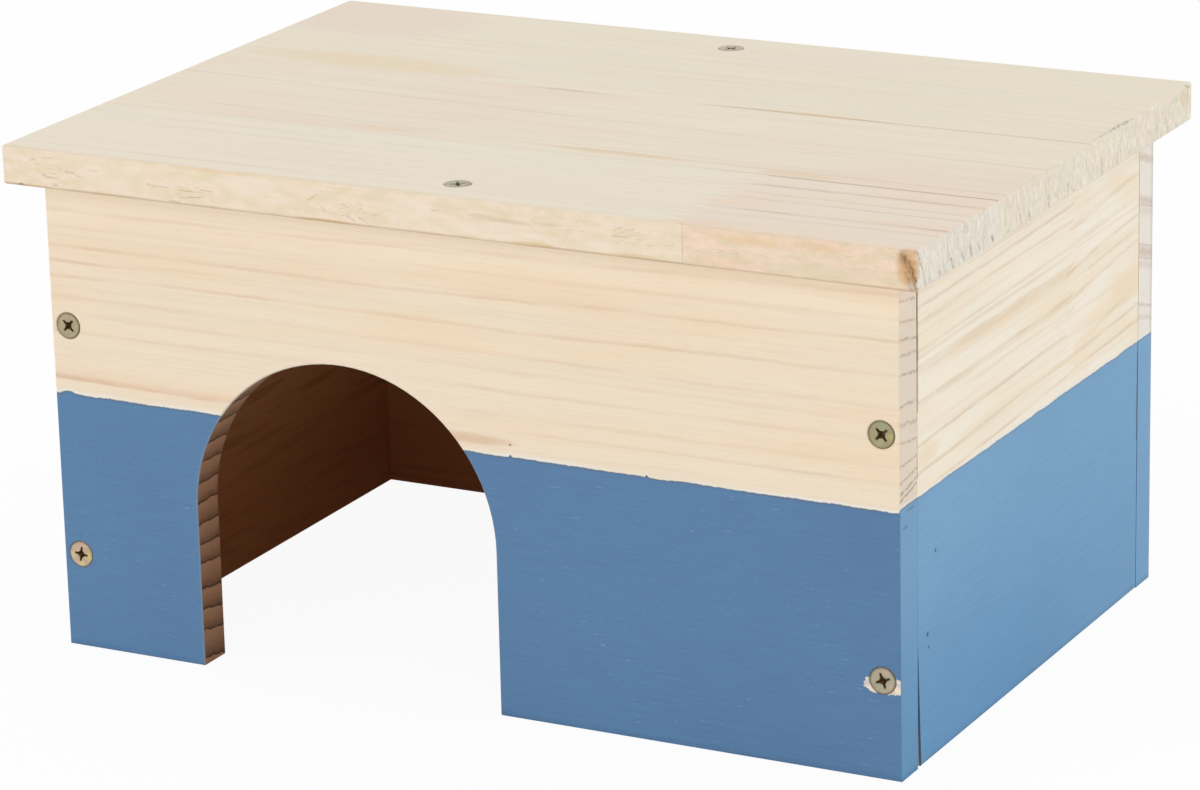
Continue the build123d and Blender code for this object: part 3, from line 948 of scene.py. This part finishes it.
roofFrontLeft = {
    **roofBoard,
    "seed": 62.0,
    "tone": tone(236, 227, 208),
    "warmShare": 0.3,
    "strokes": [(-140, -48, 10, -52, 0.3, 1.5)],
    "seams": [(-140, -41.2, 60, -41.2, 0.16, 0.5)],
    "ticks": [-84.0, -76.5, -71.0, -62.5, -55.0, -47.0],
    "stains": [
        (
            [
                (12, -90, 4.2, 5, 2, 0.9, 0.35),
                (20, -90, 4.6, 8, 2, 0.8, 0.45),
                (29, -90, 4.2, 6, 2, 0.7, 0.3),
            ],
            tone(204, 180, 152),
        ),
        ([(-124.3, -90, 10.2, 1.4, 2, 0.7, 0.8)], tone(130, 110, 84)),
        (
            [(-66, -90, 0.6, 16, 1.6, 0.45, 0.5), (-28, -90, 1.2, 7, 1.6, 0.5, 0.3)],
            tone(228, 192, 150),
        ),
        (
            [
                (-34, -90, 10.2, 9, 1.6, 0.9, 0.8),
                (26, -90, 9.8, 8, 1.6, 0.8, 0.4),
                (54, -90, 9.6, 8, 1.6, 0.8, 0.4),
            ],
            tone(214, 178, 120),
        ),
        (
            [
                (-98, -90, 5, 14, 2, 5, 0.25), (-54, -90, 4, 12, 2, 4, 0.4),
                (-8, -90, 5, 8, 2, 4, 0.4), (14, -90, 7.5, 20, 2, 2.4, 0.45),
                (48, -90, 8, 12, 2, 2.2, 0.3),
            ],
            tone(240, 224, 208),
        ),
    ],
    "poreAreas": [
        (-116, -90, 6, 7, 2, 4, 0.5), (-72, -90, 7, 12, 2, 3, 0.5),
        (-24, -90, 7, 9, 2, 4, 0.6), (52, -90, 5, 14, 2, 3, 0.45),
    ],
    "edgeMarks": [
        (-117, 2.1, -114, 2.0, 0.28, 0.6), (-120.6, 3.2, -119.6, 3.0, 0.5, 0.35),
        (-110.4, 5.1, -107.4, 5.5, 0.35, 0.6), (-107, 6.0, -105, 6.2, 0.3, 0.5),
        (-103, 4.2, -100.5, 4.1, 0.3, 0.35), (-117.4, 6.7, -116.6, 7.0, 0.6, 0.45),
        (-117, 7.2, -113, 7.3, 0.3, 0.5), (-114.4, 9.3, -113, 9.2, 0.5, 0.5),
        (-85.3, 5.9, -84.6, 6.2, 0.4, 0.7), (-84.6, 6.2, -79, 6.2, 0.25, 0.55),
        (-75.6, 6.5, -72, 6.6, 0.35, 0.5), (-76, 8.7, -69.5, 7.8, 0.28, 0.65),
        (-69.5, 5.8, -66, 6.0, 0.3, 0.45), (-79, 9.6, -76, 9.8, 0.5, 0.4),
        (-37.6, 5.0, -35, 3.4, 0.35, 0.45), (-33.6, 6.5, -33, 7.6, 0.45, 0.35),
        (-26.5, 8.0, -24.5, 9.0, 0.4, 0.5), (-22.8, 8.4, -21.4, 8.6, 0.5, 0.5),
        (-19, 7.0, -16.6, 6.6, 0.35, 0.45), (-2.4, 4.0, -0.2, 3.9, 0.28, 0.5),
        (-12, 8.2, -11.6, 9.0, 0.4, 0.35), (34.4, 9.2, 36.2, 6.2, 0.4, 0.14),
        (36.2, 6.2, 37.4, 4.8, 0.4, 0.2), (37.0, 4.8, 40.0, 1.2, 0.4, 0.14),
        (36, 5.0, 41, 4.8, 0.3, 0.35), (49, 3.8, 51.5, 2.4, 0.35, 0.35),
        (51.5, 3.2, 54.5, 3.0, 0.3, 0.35), (48.6, 5.2, 53.5, 4.9, 0.28, 0.45),
        (62.6, 6.2, 65.6, 5.6, 0.3, 0.3),
    ],
}
roofFrontRight = {
    **roofBoard,
    "seed": 74.0,
    "tone": tone(236, 222, 206),
    "warmTone": tone(237, 212, 188),
    "warmShare": 0.6,
    "lineShare": 0.85,
    "edgeTone": tone(223, 202, 164),
    "edgePinkTone": tone(236, 204, 178),
    "patchSize": (60, 14, 14),
    "flakeShare": 0.15,
    "edgeGrit": 0.24,
    "endTone": tone(226, 221, 207),
    "endPinkTone": tone(229, 218, 205),
    "strokes": [
        (66, -50.6, 140, -49.4, 0.85, 2.2), (70, -57.4, 140, -57.2, 0.5, 1.5),
        (70, -62.4, 140, -62.2, 0.5, 1.5), (72, -72.4, 140, -71.6, 0.9, 1.4),
        (70, -77.5, 140, -77.0, 0.35, 1.5),
    ],
    "seams": [(52, -41.2, 140, -41.2, 0.6, 0.7)],
    "ticks": [-77.0, -74.0, -69.0, -63.0, -57.0, -52.0, -44.0],
    "endMarks": [
        (-90.2, -0.4, -87.1, 5.8, 0.5, 0.6), (-87.1, 5.8, -85.4, 9.8, 0.5, 0.45),
        (-84.0, 8.4, -83.2, 9.6, 0.7, 0.25), (-77.6, 8.4, -76.6, 9.4, 0.8, 0.5),
        (-75.4, 7.2, -74.4, 9.2, 0.7, 0.35), (-70.2, 7.4, -68.8, 9.6, 0.8, 0.7),
        (-64.2, 7.4, -62.6, 9.2, 0.8, 0.45), (-59.0, 7.0, -57.8, 9.6, 0.8, 0.5),
        (-54.4, 7.4, -52.8, 9.2, 0.7, 0.4), (-45.6, 8.0, -44.6, 9.0, 0.8, 0.75),
        (-62.6, 1.0, -60.8, 2.0, 0.6, 0.22), (-66.0, 1.4, -58.0, 3.4, 0.5, 0.12),
        (-82, 9.8, -72, 9.9, 0.4, 0.2),
    ],
    "stains": [
        ([(67.4, -90, 5, 0.5, 2, 9, 0.5)], tone(186, 156, 122)),
        ([(127.6, -90, 4.4, 4.0, 2.5, 5.6, 0.85)], tone(206, 162, 112)),
        ([(128.4, -90, 9.0, 1.6, 2, 1.6, 0.6)], tone(222, 206, 184)),
        ([(94, -90, 1.8, 30, 2, 2.2, 0.3), (80, -90, 8.6, 12, 2, 1.6, 0.3)], tone(234, 202, 172)),
        ([(104, -90, 2.0, 9, 2, 1.3, 0.3), (86, -90, 2.6, 10, 2, 1.4, 0.3)], tone(228, 192, 142)),
        ([(106, -90, 8.0, 20, 2, 2.6, 0.5)], tone(222, 206, 176)),
    ],
    "knotMarks": [
        (126.2, 1.6, 127.4, 3.6, 1.8, 0.9), (127.4, 3.4, 128.4, 5.8, 1.4, 0.9),
        (128.2, 5.6, 129.2, 8.0, 1.1, 1.0), (129.0, 8.0, 129.7, 10.2, 1.0, 0.9),
        (127.6, 8.2, 128.4, 10.0, 0.9, 0.6), (126.8, 5.6, 127.8, 8.0, 0.8, 0.5),
    ],
    "poreAreas": [(80, -90, 7, 10, 2, 3, 0.35), (104, -90, 3, 14, 2, 2, 0.3)],
}
roofMiddle = {
    **roofBoard,
    "seed": 86.0,
    "lean": 0.2,
    "tone": tone(236, 225, 205),
    "warmTone": tone(236, 216, 197),
    "strokes": [
        (-140, -0.8, 0, -7.0, 0.55, 1.6), (0, -7.0, 140, -10.2, 0.42, 1.6),
        (-110, -30.4, 0, -35.6, 0.35, 2.0), (0, -35.8, 140, -36.2, 0.4, 1.8),
    ],
    "seams": [
        (52, -40.8, 140, -40.8, 0.5, -0.5),
        (-30, 17.8, -10, 17.8, 0.35, 0.5),
        (20, 17.8, 140, 17.8, 0.3, 0.5),
    ],
    "ticks": [-44.0, -36.0, -28.0, -21.0, -9.0, 3.0, 7.0],
    "endMarks": [
        (-36.0, 9.2, -34.8, 9.5, 0.7, 0.5), (-28.0, 7.0, -27.0, 9.2, 0.7, 0.3),
        (-22.2, 7.8, -21.4, 9.6, 0.8, 0.5), (-9.8, 7.0, -9.4, 9.4, 0.7, 0.4),
        (-5.2, 6.8, -4.6, 8.4, 0.8, 0.2), (-3.4, 8.0, -3.0, 9.3, 0.7, 0.3),
        (3.0, 7.2, 3.3, 9.6, 0.7, 0.35), (6.6, 9.2, 7.6, 9.6, 0.6, 0.4),
        (-10.4, 0.8, -10.0, 3.2, 0.9, 0.1), (-30, 0.0, -4, 0.2, 0.4, 0.08),
    ],
    "stains": [
        (
            [
                (22, -36, 0, 26, 2.6, 3, 0.5),
                (74, -38, 0, 14, 3.0, 3, 0.5),
                (-46, -37, 0, 16, 2.6, 3, 0.35),
            ],
            tone(226, 200, 164),
        ),
    ],
}
roofBack = {
    **roofBoard,
    "seed": 98.0,
    "lean": 0.3,
    "furrowShare": 0.56,
    "endGrit": 0.66,
    "tornShare": 0.5,
    "tone": tone(234, 225, 205),
    "warmShare": 0.35,
    "strokes": [(-12, 42.0, 90, 42.8, 0.3, 1.4), (-30, 37.0, 50, 37.6, 0.2, 1.4)],
    "seams": [
        (-28, 18.2, -12, 18.2, 0.4, 0.7),
        (24, 18.2, 76, 18.2, 0.55, 0.9),
        (76, 18.2, 140, 18.2, 0.3, 0.7),
    ],
    "ticks": [26.0, 37.0, 46.0],
    "endMarks": [
        (20, -0.2, 34, 0.0, 0.3, 0.4), (34, 0.0, 44, 0.2, 0.36, 0.55),
        (44, 0.2, 48, 0.3, 0.25, 0.35), (26.2, 6.6, 26.4, 9.6, 0.8, 0.3),
        (31.0, 7.4, 31.2, 9.4, 0.7, 0.2), (36.4, 7.0, 36.6, 9.6, 0.8, 0.3),
        (45.0, 8.2, 45.4, 9.6, 0.7, 0.3), (72, 8.6, 72.6, 9.6, 0.8, 0.3),
        (78, 9.0, 78.6, 9.8, 0.7, 0.25), (85.8, 0.5, 88.0, 1.0, 0.45, 0.6),
        (89.6, 2.0, 89.6, 9.5, 0.6, 0.35),
    ],
    "stains": [
        (
            [
                (-84, 26, 0, 50, 10, 3, 0.4),
                (52, 18.4, 0, 26, 2.4, 3, 0.6),
                (-21, 17.5, 0, 9, 2.2, 3, 0.5),
            ],
            tone(232, 206, 166),
        ),
        ([(-112, 74, 0, 40, 26, 3, 0.6)], tone(232, 212, 198)),
        ([(130, 84.5, 3, 2, 3.5, 3.5, 0.6)], tone(220, 194, 156)),
    ],
}

# Screws

screwSizes = {
    "Length": 25.0,
    "Head Diameter": 7.0,
    "Head Land": 0.3,
    "Rim Radius": 0.22,
    "Core Diameter": 2.2,
    "Thread Diameter": 3.5,
    "Thread Pitch": 1.6,
    "Plain Length": 1.5,
    "Tip Length": 3.4,
    "Recess Span": 4.2,
    "Recess Depth": 2.1,
    "Wing Width": 0.85,
}

# what stays in proportion when those sizes change
screwShape = {
    "sides": 64,
    "tipShare": 0.12,
    "faceInset": 1.4,
    "wingSpanLoss": 0.5,
    "wingWidthLoss": 0.3,
    "hubTop": 1.25,
    "hubBottom": 0.5,
    "hubLow": 0.98,
    "stepsPerTurn": 28,
    "threadTipShare": 0.14,
    "sharpAngle": 25,
}

zinc = {
    "rimTone": tone(118, 100, 72),
    "recessTone": tone(122, 100, 60),
    # painted glints on the recess walls
    "paintedGlintTone": tone(236, 224, 176),
}


def indexed(tree, values):
    # the value that belongs to each point's place in the row
    switch = tree.nodes.new("GeometryNodeIndexSwitch")
    switch.data_type = "FLOAT"
    while len(switch.index_switch_items) < len(values):
        switch.index_switch_items.new()
    tree.links.new(tree.nodes.new("GeometryNodeInputIndex").outputs[0], switch.inputs[0])
    for place, value in enumerate(values, 1):
        if isinstance(value, Wire):
            tree.links.new(value.socket, switch.inputs[place])
        else:
            switch.inputs[place].default_value = value
    return Wire(tree, switch.outputs[0])


def moved(geometry, offset=(0, 0, 0), turn=(0, 0, 0)):
    inputs = {"Geometry": geometry, "Translation": offset, "Rotation": turn}
    return geometry.node("GeometryNodeTransform", {}, inputs)


def reshaped(geometry, x, y, z):
    inputs = {"Geometry": geometry, "Position": joined(x, y, z)}
    return geometry.node("GeometryNodeSetPosition", {}, inputs)


def screwTree():
    # a countersunk screw with a cross recess and a helical thread, its face at z = 0, its tip down
    shape = screwShape
    tree = bpy.data.node_groups.new("countersunkScrew", "GeometryNodeTree")
    for name in (*screwSizes, "Turn"):
        tree.interface.new_socket(name=name, in_out="INPUT", socket_type="NodeSocketFloat")
    tree.interface.new_socket(name="Finish", in_out="INPUT", socket_type="NodeSocketMaterial")
    tree.interface.new_socket(name="Geometry", in_out="OUTPUT", socket_type="NodeSocketGeometry")
    entry = {socket.name: Wire(tree, socket) for socket in tree.nodes.new("NodeGroupInput").outputs}
    root = Wire(tree)
    length, land, rim = entry["Length"], entry["Head Land"], entry["Rim Radius"]
    headRadius = entry["Head Diameter"] / 2
    coreRadius = entry["Core Diameter"] / 2
    threadRadius = entry["Thread Diameter"] / 2
    neck = land + headRadius - coreRadius
    tipStart = length - entry["Tip Length"]

    # head, neck, shank and tip, turned about the axis
    profile = [(0.0, headRadius - rim * shape["faceInset"])]
    for angle in (2, 18, 36, 54, 72, 90):
        quarter = radians(angle)
        profile.append((rim * (1 - cos(quarter)), headRadius - rim * (1 - sin(quarter))))
    profile += [(land, headRadius), (neck, coreRadius), (tipStart, coreRadius)]
    profile.append((length, coreRadius * shape["tipShare"]))
    depth = indexed(tree, [row[0] for row in profile])
    radius = indexed(tree, [row[1] for row in profile])
    inputs = {"Count": len(profile), "Position": joined(0, 0, depth * -1), "Radius": radius}
    points = root.node("GeometryNodePoints", {}, inputs)
    axis = root.node("GeometryNodePointsToCurves", {}, {0: points})
    inputs = {"Resolution": shape["sides"], "Radius": 1.0}
    circle = root.node("GeometryNodeCurvePrimitiveCircle", {}, inputs)
    width = root.node("GeometryNodeInputRadius")
    inputs = {"Curve": axis, "Profile Curve": circle, "Scale": width, "Fill Caps": True}
    blank = root.node("GeometryNodeCurveToMesh", {}, inputs)

    # cross recess: two wings that narrow outwards and downwards, and a hub
    span, recessDepth, wingWidth = entry["Recess Span"], entry["Recess Depth"], entry["Wing Width"]
    size = joined(span, wingWidth, recessDepth * 2)
    inputs = {"Size": size, "Vertices X": 9, "Vertices Y": 2, "Vertices Z": 5}
    slab = root.node("GeometryNodeMeshCube", {}, inputs)
    x, y, z = split(root.node("GeometryNodeInputPosition"))
    down = clamped(z / recessDepth * -1)
    outward = abs(x) / span * 2
    spanLoss, widthLoss = shape["wingSpanLoss"], shape["wingWidthLoss"]
    narrowed = y * (1 - outward ** 3 * widthLoss) * (1 - down * widthLoss)
    wing = reshaped(slab, x * (1 - down * spanLoss), narrowed, z)
    inputs = {"Vertices": 16, "Depth": recessDepth}
    inputs["Radius Top"] = wingWidth * shape["hubTop"]
    inputs["Radius Bottom"] = wingWidth * shape["hubBottom"]
    hub = root.node("GeometryNodeMeshCone", {}, inputs)
    hub = moved(hub, joined(0, 0, recessDepth * -shape["hubLow"]))
    cutters = [wing, moved(wing, turn=(0, 0, pi / 2)), hub]
    settings = {"operation": "DIFFERENCE", "solver": "EXACT"}
    inputs = {"Mesh 1": blank, "Mesh 2": cutters, "Self Intersection": True}
    body = root.node("GeometryNodeMeshBoolean", settings, inputs)

    # helical thread, tapered with the tip and run out under the neck
    rise = length - neck - entry["Plain Length"]
    turns = rise / entry["Thread Pitch"]
    inputs = {"Resolution": shape["stepsPerTurn"], "Rotations": turns, "Height": rise}
    inputs["Start Radius"] = inputs["End Radius"] = coreRadius
    spiral = root.node("GeometryNodeCurveSpiral", {}, inputs)
    tipShare = shape["threadTipShare"]
    taper = clamped(z / entry["Tip Length"]) * (1 - tipShare) + tipShare
    spiral = reshaped(spiral, x * taper, y * taper, z)
    spiral = root.node("GeometryNodeSetCurveNormal", {"mode": "Z_UP"}, {"Curve": spiral})
    crest = clamped((rise - z) / entry["Thread Pitch"], 0.02)
    inputs = {"Resolution": 4, "Radius": threadRadius - coreRadius}
    diamond = root.node("GeometryNodeCurvePrimitiveCircle", {}, inputs)
    inputs = {"Curve": spiral, "Profile Curve": diamond, "Scale": crest * taper, "Fill Caps": True}
    thread = moved(root.node("GeometryNodeCurveToMesh", {}, inputs), joined(0, 0, length * -1))

    # smooth faces, but for the sharp edges
    whole = root.node("GeometryNodeJoinGeometry", {}, {0: [body, thread]})
    inputs = {"Geometry": whole, "Shade Smooth": True}
    whole = root.node("GeometryNodeSetShadeSmooth", {"domain": "FACE"}, inputs)
    bend = root.node("GeometryNodeInputMeshEdgeAngle")
    sharp = bend.maths("GREATER_THAN", bend, radians(shape["sharpAngle"]))
    inputs = {"Geometry": whole, "Selection": sharp, "Shade Smooth": False}
    whole = root.node("GeometryNodeSetShadeSmooth", {"domain": "EDGE"}, inputs)
    whole = moved(whole, turn=joined(0, 0, entry["Turn"]))
    whole = root.node("GeometryNodeRealizeInstances", {}, {"Geometry": whole})
    inputs = {"Geometry": whole, "Material": entry["Finish"]}
    whole = root.node("GeometryNodeSetMaterial", {}, inputs)
    tree.links.new(whole.socket, tree.nodes.new("NodeGroupOutput").inputs[0])
    return tree


def zincFinish(name, screw, face, right, up, out):
    # yellow zinc whose tint wanders over the head, with a speckled dark rim that is partly painted
    # shade at the head's edge, a dark recess, and painted glints on the recess walls
    headEdge = screwSizes["Head Diameter"] / 2
    recessEdge = screwSizes["Recess Span"] / 2
    material = newMaterial(name)
    point, facing = places(material.node_tree)
    offset = point.vectors("SUBTRACT", point, face * 1000)
    across, along, height = [offset.vectors("DOT_PRODUCT", offset, way) for way in (right, up, out)]
    seed = screw["seed"]
    radius = (across * across + along * along) ** 0.5
    tint = cloud(point, (2.4, 2.4, 2.4), 2.0, seed)
    speckle = cloud(point, (0.3, 0.3, 0.3), 3.0, seed + 2)
    grooves = cloud(joined(radius, along * 0.15), (0.22, 2, 2), 2.0, seed + 4)
    colour = mixTones(ease(tint, 0.35, 0.65), screw["tone"], screw["cloudTone"])
    for tintAcross, tintAlong, reach, tintTone in screw.get("tints", []):
        distance = ((across - tintAcross) ** 2 + (along - tintAlong) ** 2) ** 0.5
        distance = distance + (tint - 0.5) * 1.5
        colour = mixTones(ease(distance, reach, reach * 0.2) * 0.8, colour, tintTone)
    rim = ease(radius, headEdge - 0.55, headEdge - 0.25) * ease(speckle, 0.3, 0.55)
    colour = mixTones(rim * screw["rimShadeShare"], colour, zinc["rimTone"])
    colour = shadeTone(colour, 0.76 + speckle * 0.44 + (grooves - 0.5) * 0.2)
    sunk = ease(height, -0.1, -0.4)
    spark = ease(height, -0.9, -0.3) * ease(across, 0.9, 1.4) * screw["spark"]
    wall = mixTones(spark, zinc["recessTone"], zinc["paintedGlintTone"])
    colour = mixTones(sunk * ease(radius, recessEdge + 0.5, recessEdge + 0.3), colour, wall)
    roughness = 0.5 + (speckle - 0.5) * 0.3
    surface = {"colour": colour, "roughness": roughness, "height": speckle + grooves}
    finishMaterial(surface, relief=0.02, metal=0.35)
    return material


screws = {
    "front_screw_upper_left": {
        "turn": 47,
        "seed": 1.0,
        "tone": tone(176, 163, 130),
        "cloudTone": tone(166, 152, 118),
        "tints": [(1.2, 2.4, 1.6, tone(170, 164, 134))],
        "rimShadeShare": 0.8,
        "spark": 0.1,
    },
    "front_screw_lower_left": {
        "turn": -8,
        "seed": 3.0,
        "tone": tone(204, 174, 152),
        "cloudTone": tone(190, 168, 138),
        "tints": [
            (2.6, -0.6, 1.8, tone(206, 196, 128)),
            (-2.4, -0.2, 1.2, tone(204, 198, 150)),
            (0.2, -2.6, 1.4, tone(206, 198, 148)),
        ],
        "rimShadeShare": 0.5,
        "spark": 1.0,
    },
    "front_screw_upper_right": {
        "turn": 42,
        "seed": 5.0,
        "tone": tone(167, 160, 122),
        "cloudTone": tone(154, 148, 110),
        "tints": [(0.4, 2.4, 2.0, tone(152, 160, 126)), (2.6, -0.4, 1.8, tone(178, 168, 110))],
        "rimShadeShare": 0.8,
        "spark": 0.1,
    },
    "front_screw_lower_right": {
        "turn": 20,
        "seed": 7.0,
        "tone": tone(158, 162, 136),
        "cloudTone": tone(170, 160, 138),
        "tints": [
            (0.9, 2.4, 1.7, tone(194, 164, 148)),
            (2.4, -1.6, 1.6, tone(190, 166, 146)),
            (-2.6, -1.6, 1.0, tone(178, 140, 118)),
        ],
        "rimShadeShare": 0.8,
        "spark": 1.0,
    },
    "back_screw_upper_left": {"turn": 12, "seed": 9.0},
    "back_screw_lower_left": {"turn": 63, "seed": 11.0},
    "back_screw_upper_right": {"turn": 35, "seed": 13.0},
    "back_screw_lower_right": {"turn": 78, "seed": 15.0},
    "roof_screw_front": {
        "turn": 32,
        "seed": 17.0,
        "tone": tone(182, 178, 160),
        "cloudTone": tone(162, 156, 138),
    },
    "roof_screw_back": {
        "turn": 70,
        "seed": 19.0,
        "tone": tone(196, 182, 166),
        "cloudTone": tone(184, 170, 152),
    },
}
plainScrew = {
    "tone": tone(180, 174, 142),
    "cloudTone": tone(194, 176, 150),
    "rimShadeShare": 0.4,
    "spark": 0.3,
}

# which way each side's screws face, and which way is across their heads
screwSides = {
    "front": ((0, -1, 0), (1, 0, 0)),
    "back": ((0, 1, 0), (-1, 0, 0)),
    "roof": ((0, 0, 1), (1, 0, 0)),
}
countersunkScrew = screwTree()
screwInputs = {
    socket.name: socket.identifier
    for socket in countersunkScrew.interface.items_tree
    if socket.in_out == "INPUT"
}


def driveScrew(node, screw):
    print("driving", node)
    words = node.split("_")
    out, right = [Vector(way) for way in screwSides[words[0]]]
    up = out.cross(right)
    low, high = [Vector(corner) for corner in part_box(node)]
    face = (low + high) / 2 + out * abs((high - low).dot(out)) / 2
    name = words[0] + "".join(word.capitalize() for word in words[1:])

    blank = addObject("blank", bpy.data.meshes.new("blank"))
    modifier = blank.modifiers.new("countersunkScrew", "NODES")
    modifier.node_group = countersunkScrew
    for label, size in screwSizes.items():
        modifier[screwInputs[label]] = size / 1000
    modifier[screwInputs["Turn"]] = radians(screw["turn"])
    modifier[screwInputs["Finish"]] = zincFinish(name + "Zinc", screw, face, right, up, out)
    evaluated = blank.evaluated_get(bpy.context.evaluated_depsgraph_get())
    mesh = bpy.data.meshes.new_from_object(evaluated)
    bpy.data.objects.remove(blank)
    mesh.transform(Matrix.Translation(face) @ Matrix((right, up, out)).transposed().to_4x4())
    piece = addObject(name, mesh)
    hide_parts(node)
    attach(piece, "root")


for node, screw in screws.items():
    driveScrew(node, {**plainScrew, **screw})

# Which finish each board takes: the boards keep their CAD meshes

boards = {
    "front_board": (paintedBoard, "frontBoardFinish", frontBoard),
    "back_board": (paintedBoard, "backBoardFinish", backBoard),
    "left_side_board": (paintedBoard, "leftBoardFinish", leftBoard),
    "right_side_front_length": (paintedBoard, "rightFrontLengthFinish", rightFrontLength),
    "right_side_back_length": (paintedBoard, "rightBackLengthFinish", rightBackLength),
    "roof_front_stave_left": (roofStave, "roofFrontLeftFinish", roofFrontLeft),
    "roof_front_stave_right": (roofStave, "roofFrontRightFinish", roofFrontRight),
    "roof_middle_stave": (roofStave, "roofMiddleFinish", roofMiddle),
    "roof_back_stave": (roofStave, "roofBackFinish", roofBack),
}

for node, (finish, name, board) in boards.items():
    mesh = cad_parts[node].data
    mesh.materials.clear()
    mesh.materials.append(finish(name, board))

# Floor, light and camera

studio = {
    "floorHalf": 4.0,
    "floorTone": tone(244, 244, 243),
    "shadowShare": 0.06,
    "skyStrength": 0.78,
    "lamps": [
        {"name": "key", "from": (-0.55, -0.8, 0.35), "strength": 0.9, "spread": 0.9},
        {"name": "side", "from": (0.95, 0.15, 0.25), "strength": 0.73, "spread": 0.9},
    ],
}


def seenDirectly(tree):
    # 1 for what the camera, a mirror or glass sees, so that the background stays white
    root = Wire(tree)
    rays = ("Is Camera Ray", "Is Glossy Ray", "Is Transmission Ray")
    return reduce(larger, (root.node("LightPath", output=name) for name in rays))


print("setting up the studio")
half = studio["floorHalf"]
floorMesh = bpy.data.meshes.new("floor")
corners = [(-half, -half, 0), (half, -half, 0), (half, half, 0), (-half, half, 0)]
floorMesh.from_pydata(corners, [], [(0, 1, 2, 3)])
floor = addObject("floor", floorMesh)
floorMaterial = newMaterial("paleFloor")
tree = floorMaterial.node_tree
direct = seenDirectly(tree)
matt = direct.node("BsdfDiffuse", {}, {"Color": studio["floorTone"]})
glow = direct.node("Emission", {}, {"Color": (1, 1, 1, 1), "Strength": 1.0})
surface = direct.node("MixShader", {}, {0: direct * (1 - studio["shadowShare"]), 1: matt, 2: glow})
tree.links.new(surface.socket, tree.nodes.new("ShaderNodeOutputMaterial").inputs["Surface"])
floorMesh.materials.append(floorMaterial)

world = bpy.data.worlds.new("studio")
world.use_nodes = True
world.node_tree.nodes.clear()
direct = seenDirectly(world.node_tree)
strength = studio["skyStrength"] + direct * (1 - studio["skyStrength"])
sky = direct.node("Background", {}, {"Color": (1, 1, 1, 1), "Strength": strength})
skyOutput = world.node_tree.nodes.new("ShaderNodeOutputWorld")
world.node_tree.links.new(sky.socket, skyOutput.inputs["Surface"])
bpy.context.scene.world = world

for lamp in studio["lamps"]:
    lampData = bpy.data.lights.new(lamp["name"], "SUN")
    lampData.energy = lamp["strength"]
    lampData.angle = lamp["spread"]
    lampObject = addObject(lamp["name"], lampData)
    lampObject.rotation_mode = "QUATERNION"
    lampObject.rotation_quaternion = Vector(lamp["from"]).to_track_quat("Z", "Y")

view = {
    "place": (0.5929949, -1.1293039, 0.4615349),
    "right": (0.88733766, 0.46056563, -0.02260935),
    "up": (-0.11886207, 0.27582662, 0.9538299),
    "lens": 149.7122,
    "sensor": 36.0,
}
right, up = Vector(view["right"]), Vector(view["up"])
turn = Matrix((right, up, right.cross(up))).transposed()
cameraData = bpy.data.cameras.new("camera")
cameraData.lens = view["lens"]
cameraData.sensor_width = view["sensor"]
camera = addObject("camera", cameraData)
camera.matrix_world = Matrix.Translation(view["place"]) @ turn.to_4x4()
bpy.context.scene.camera = camera
bpy.context.scene.view_settings.view_transform = "Standard"
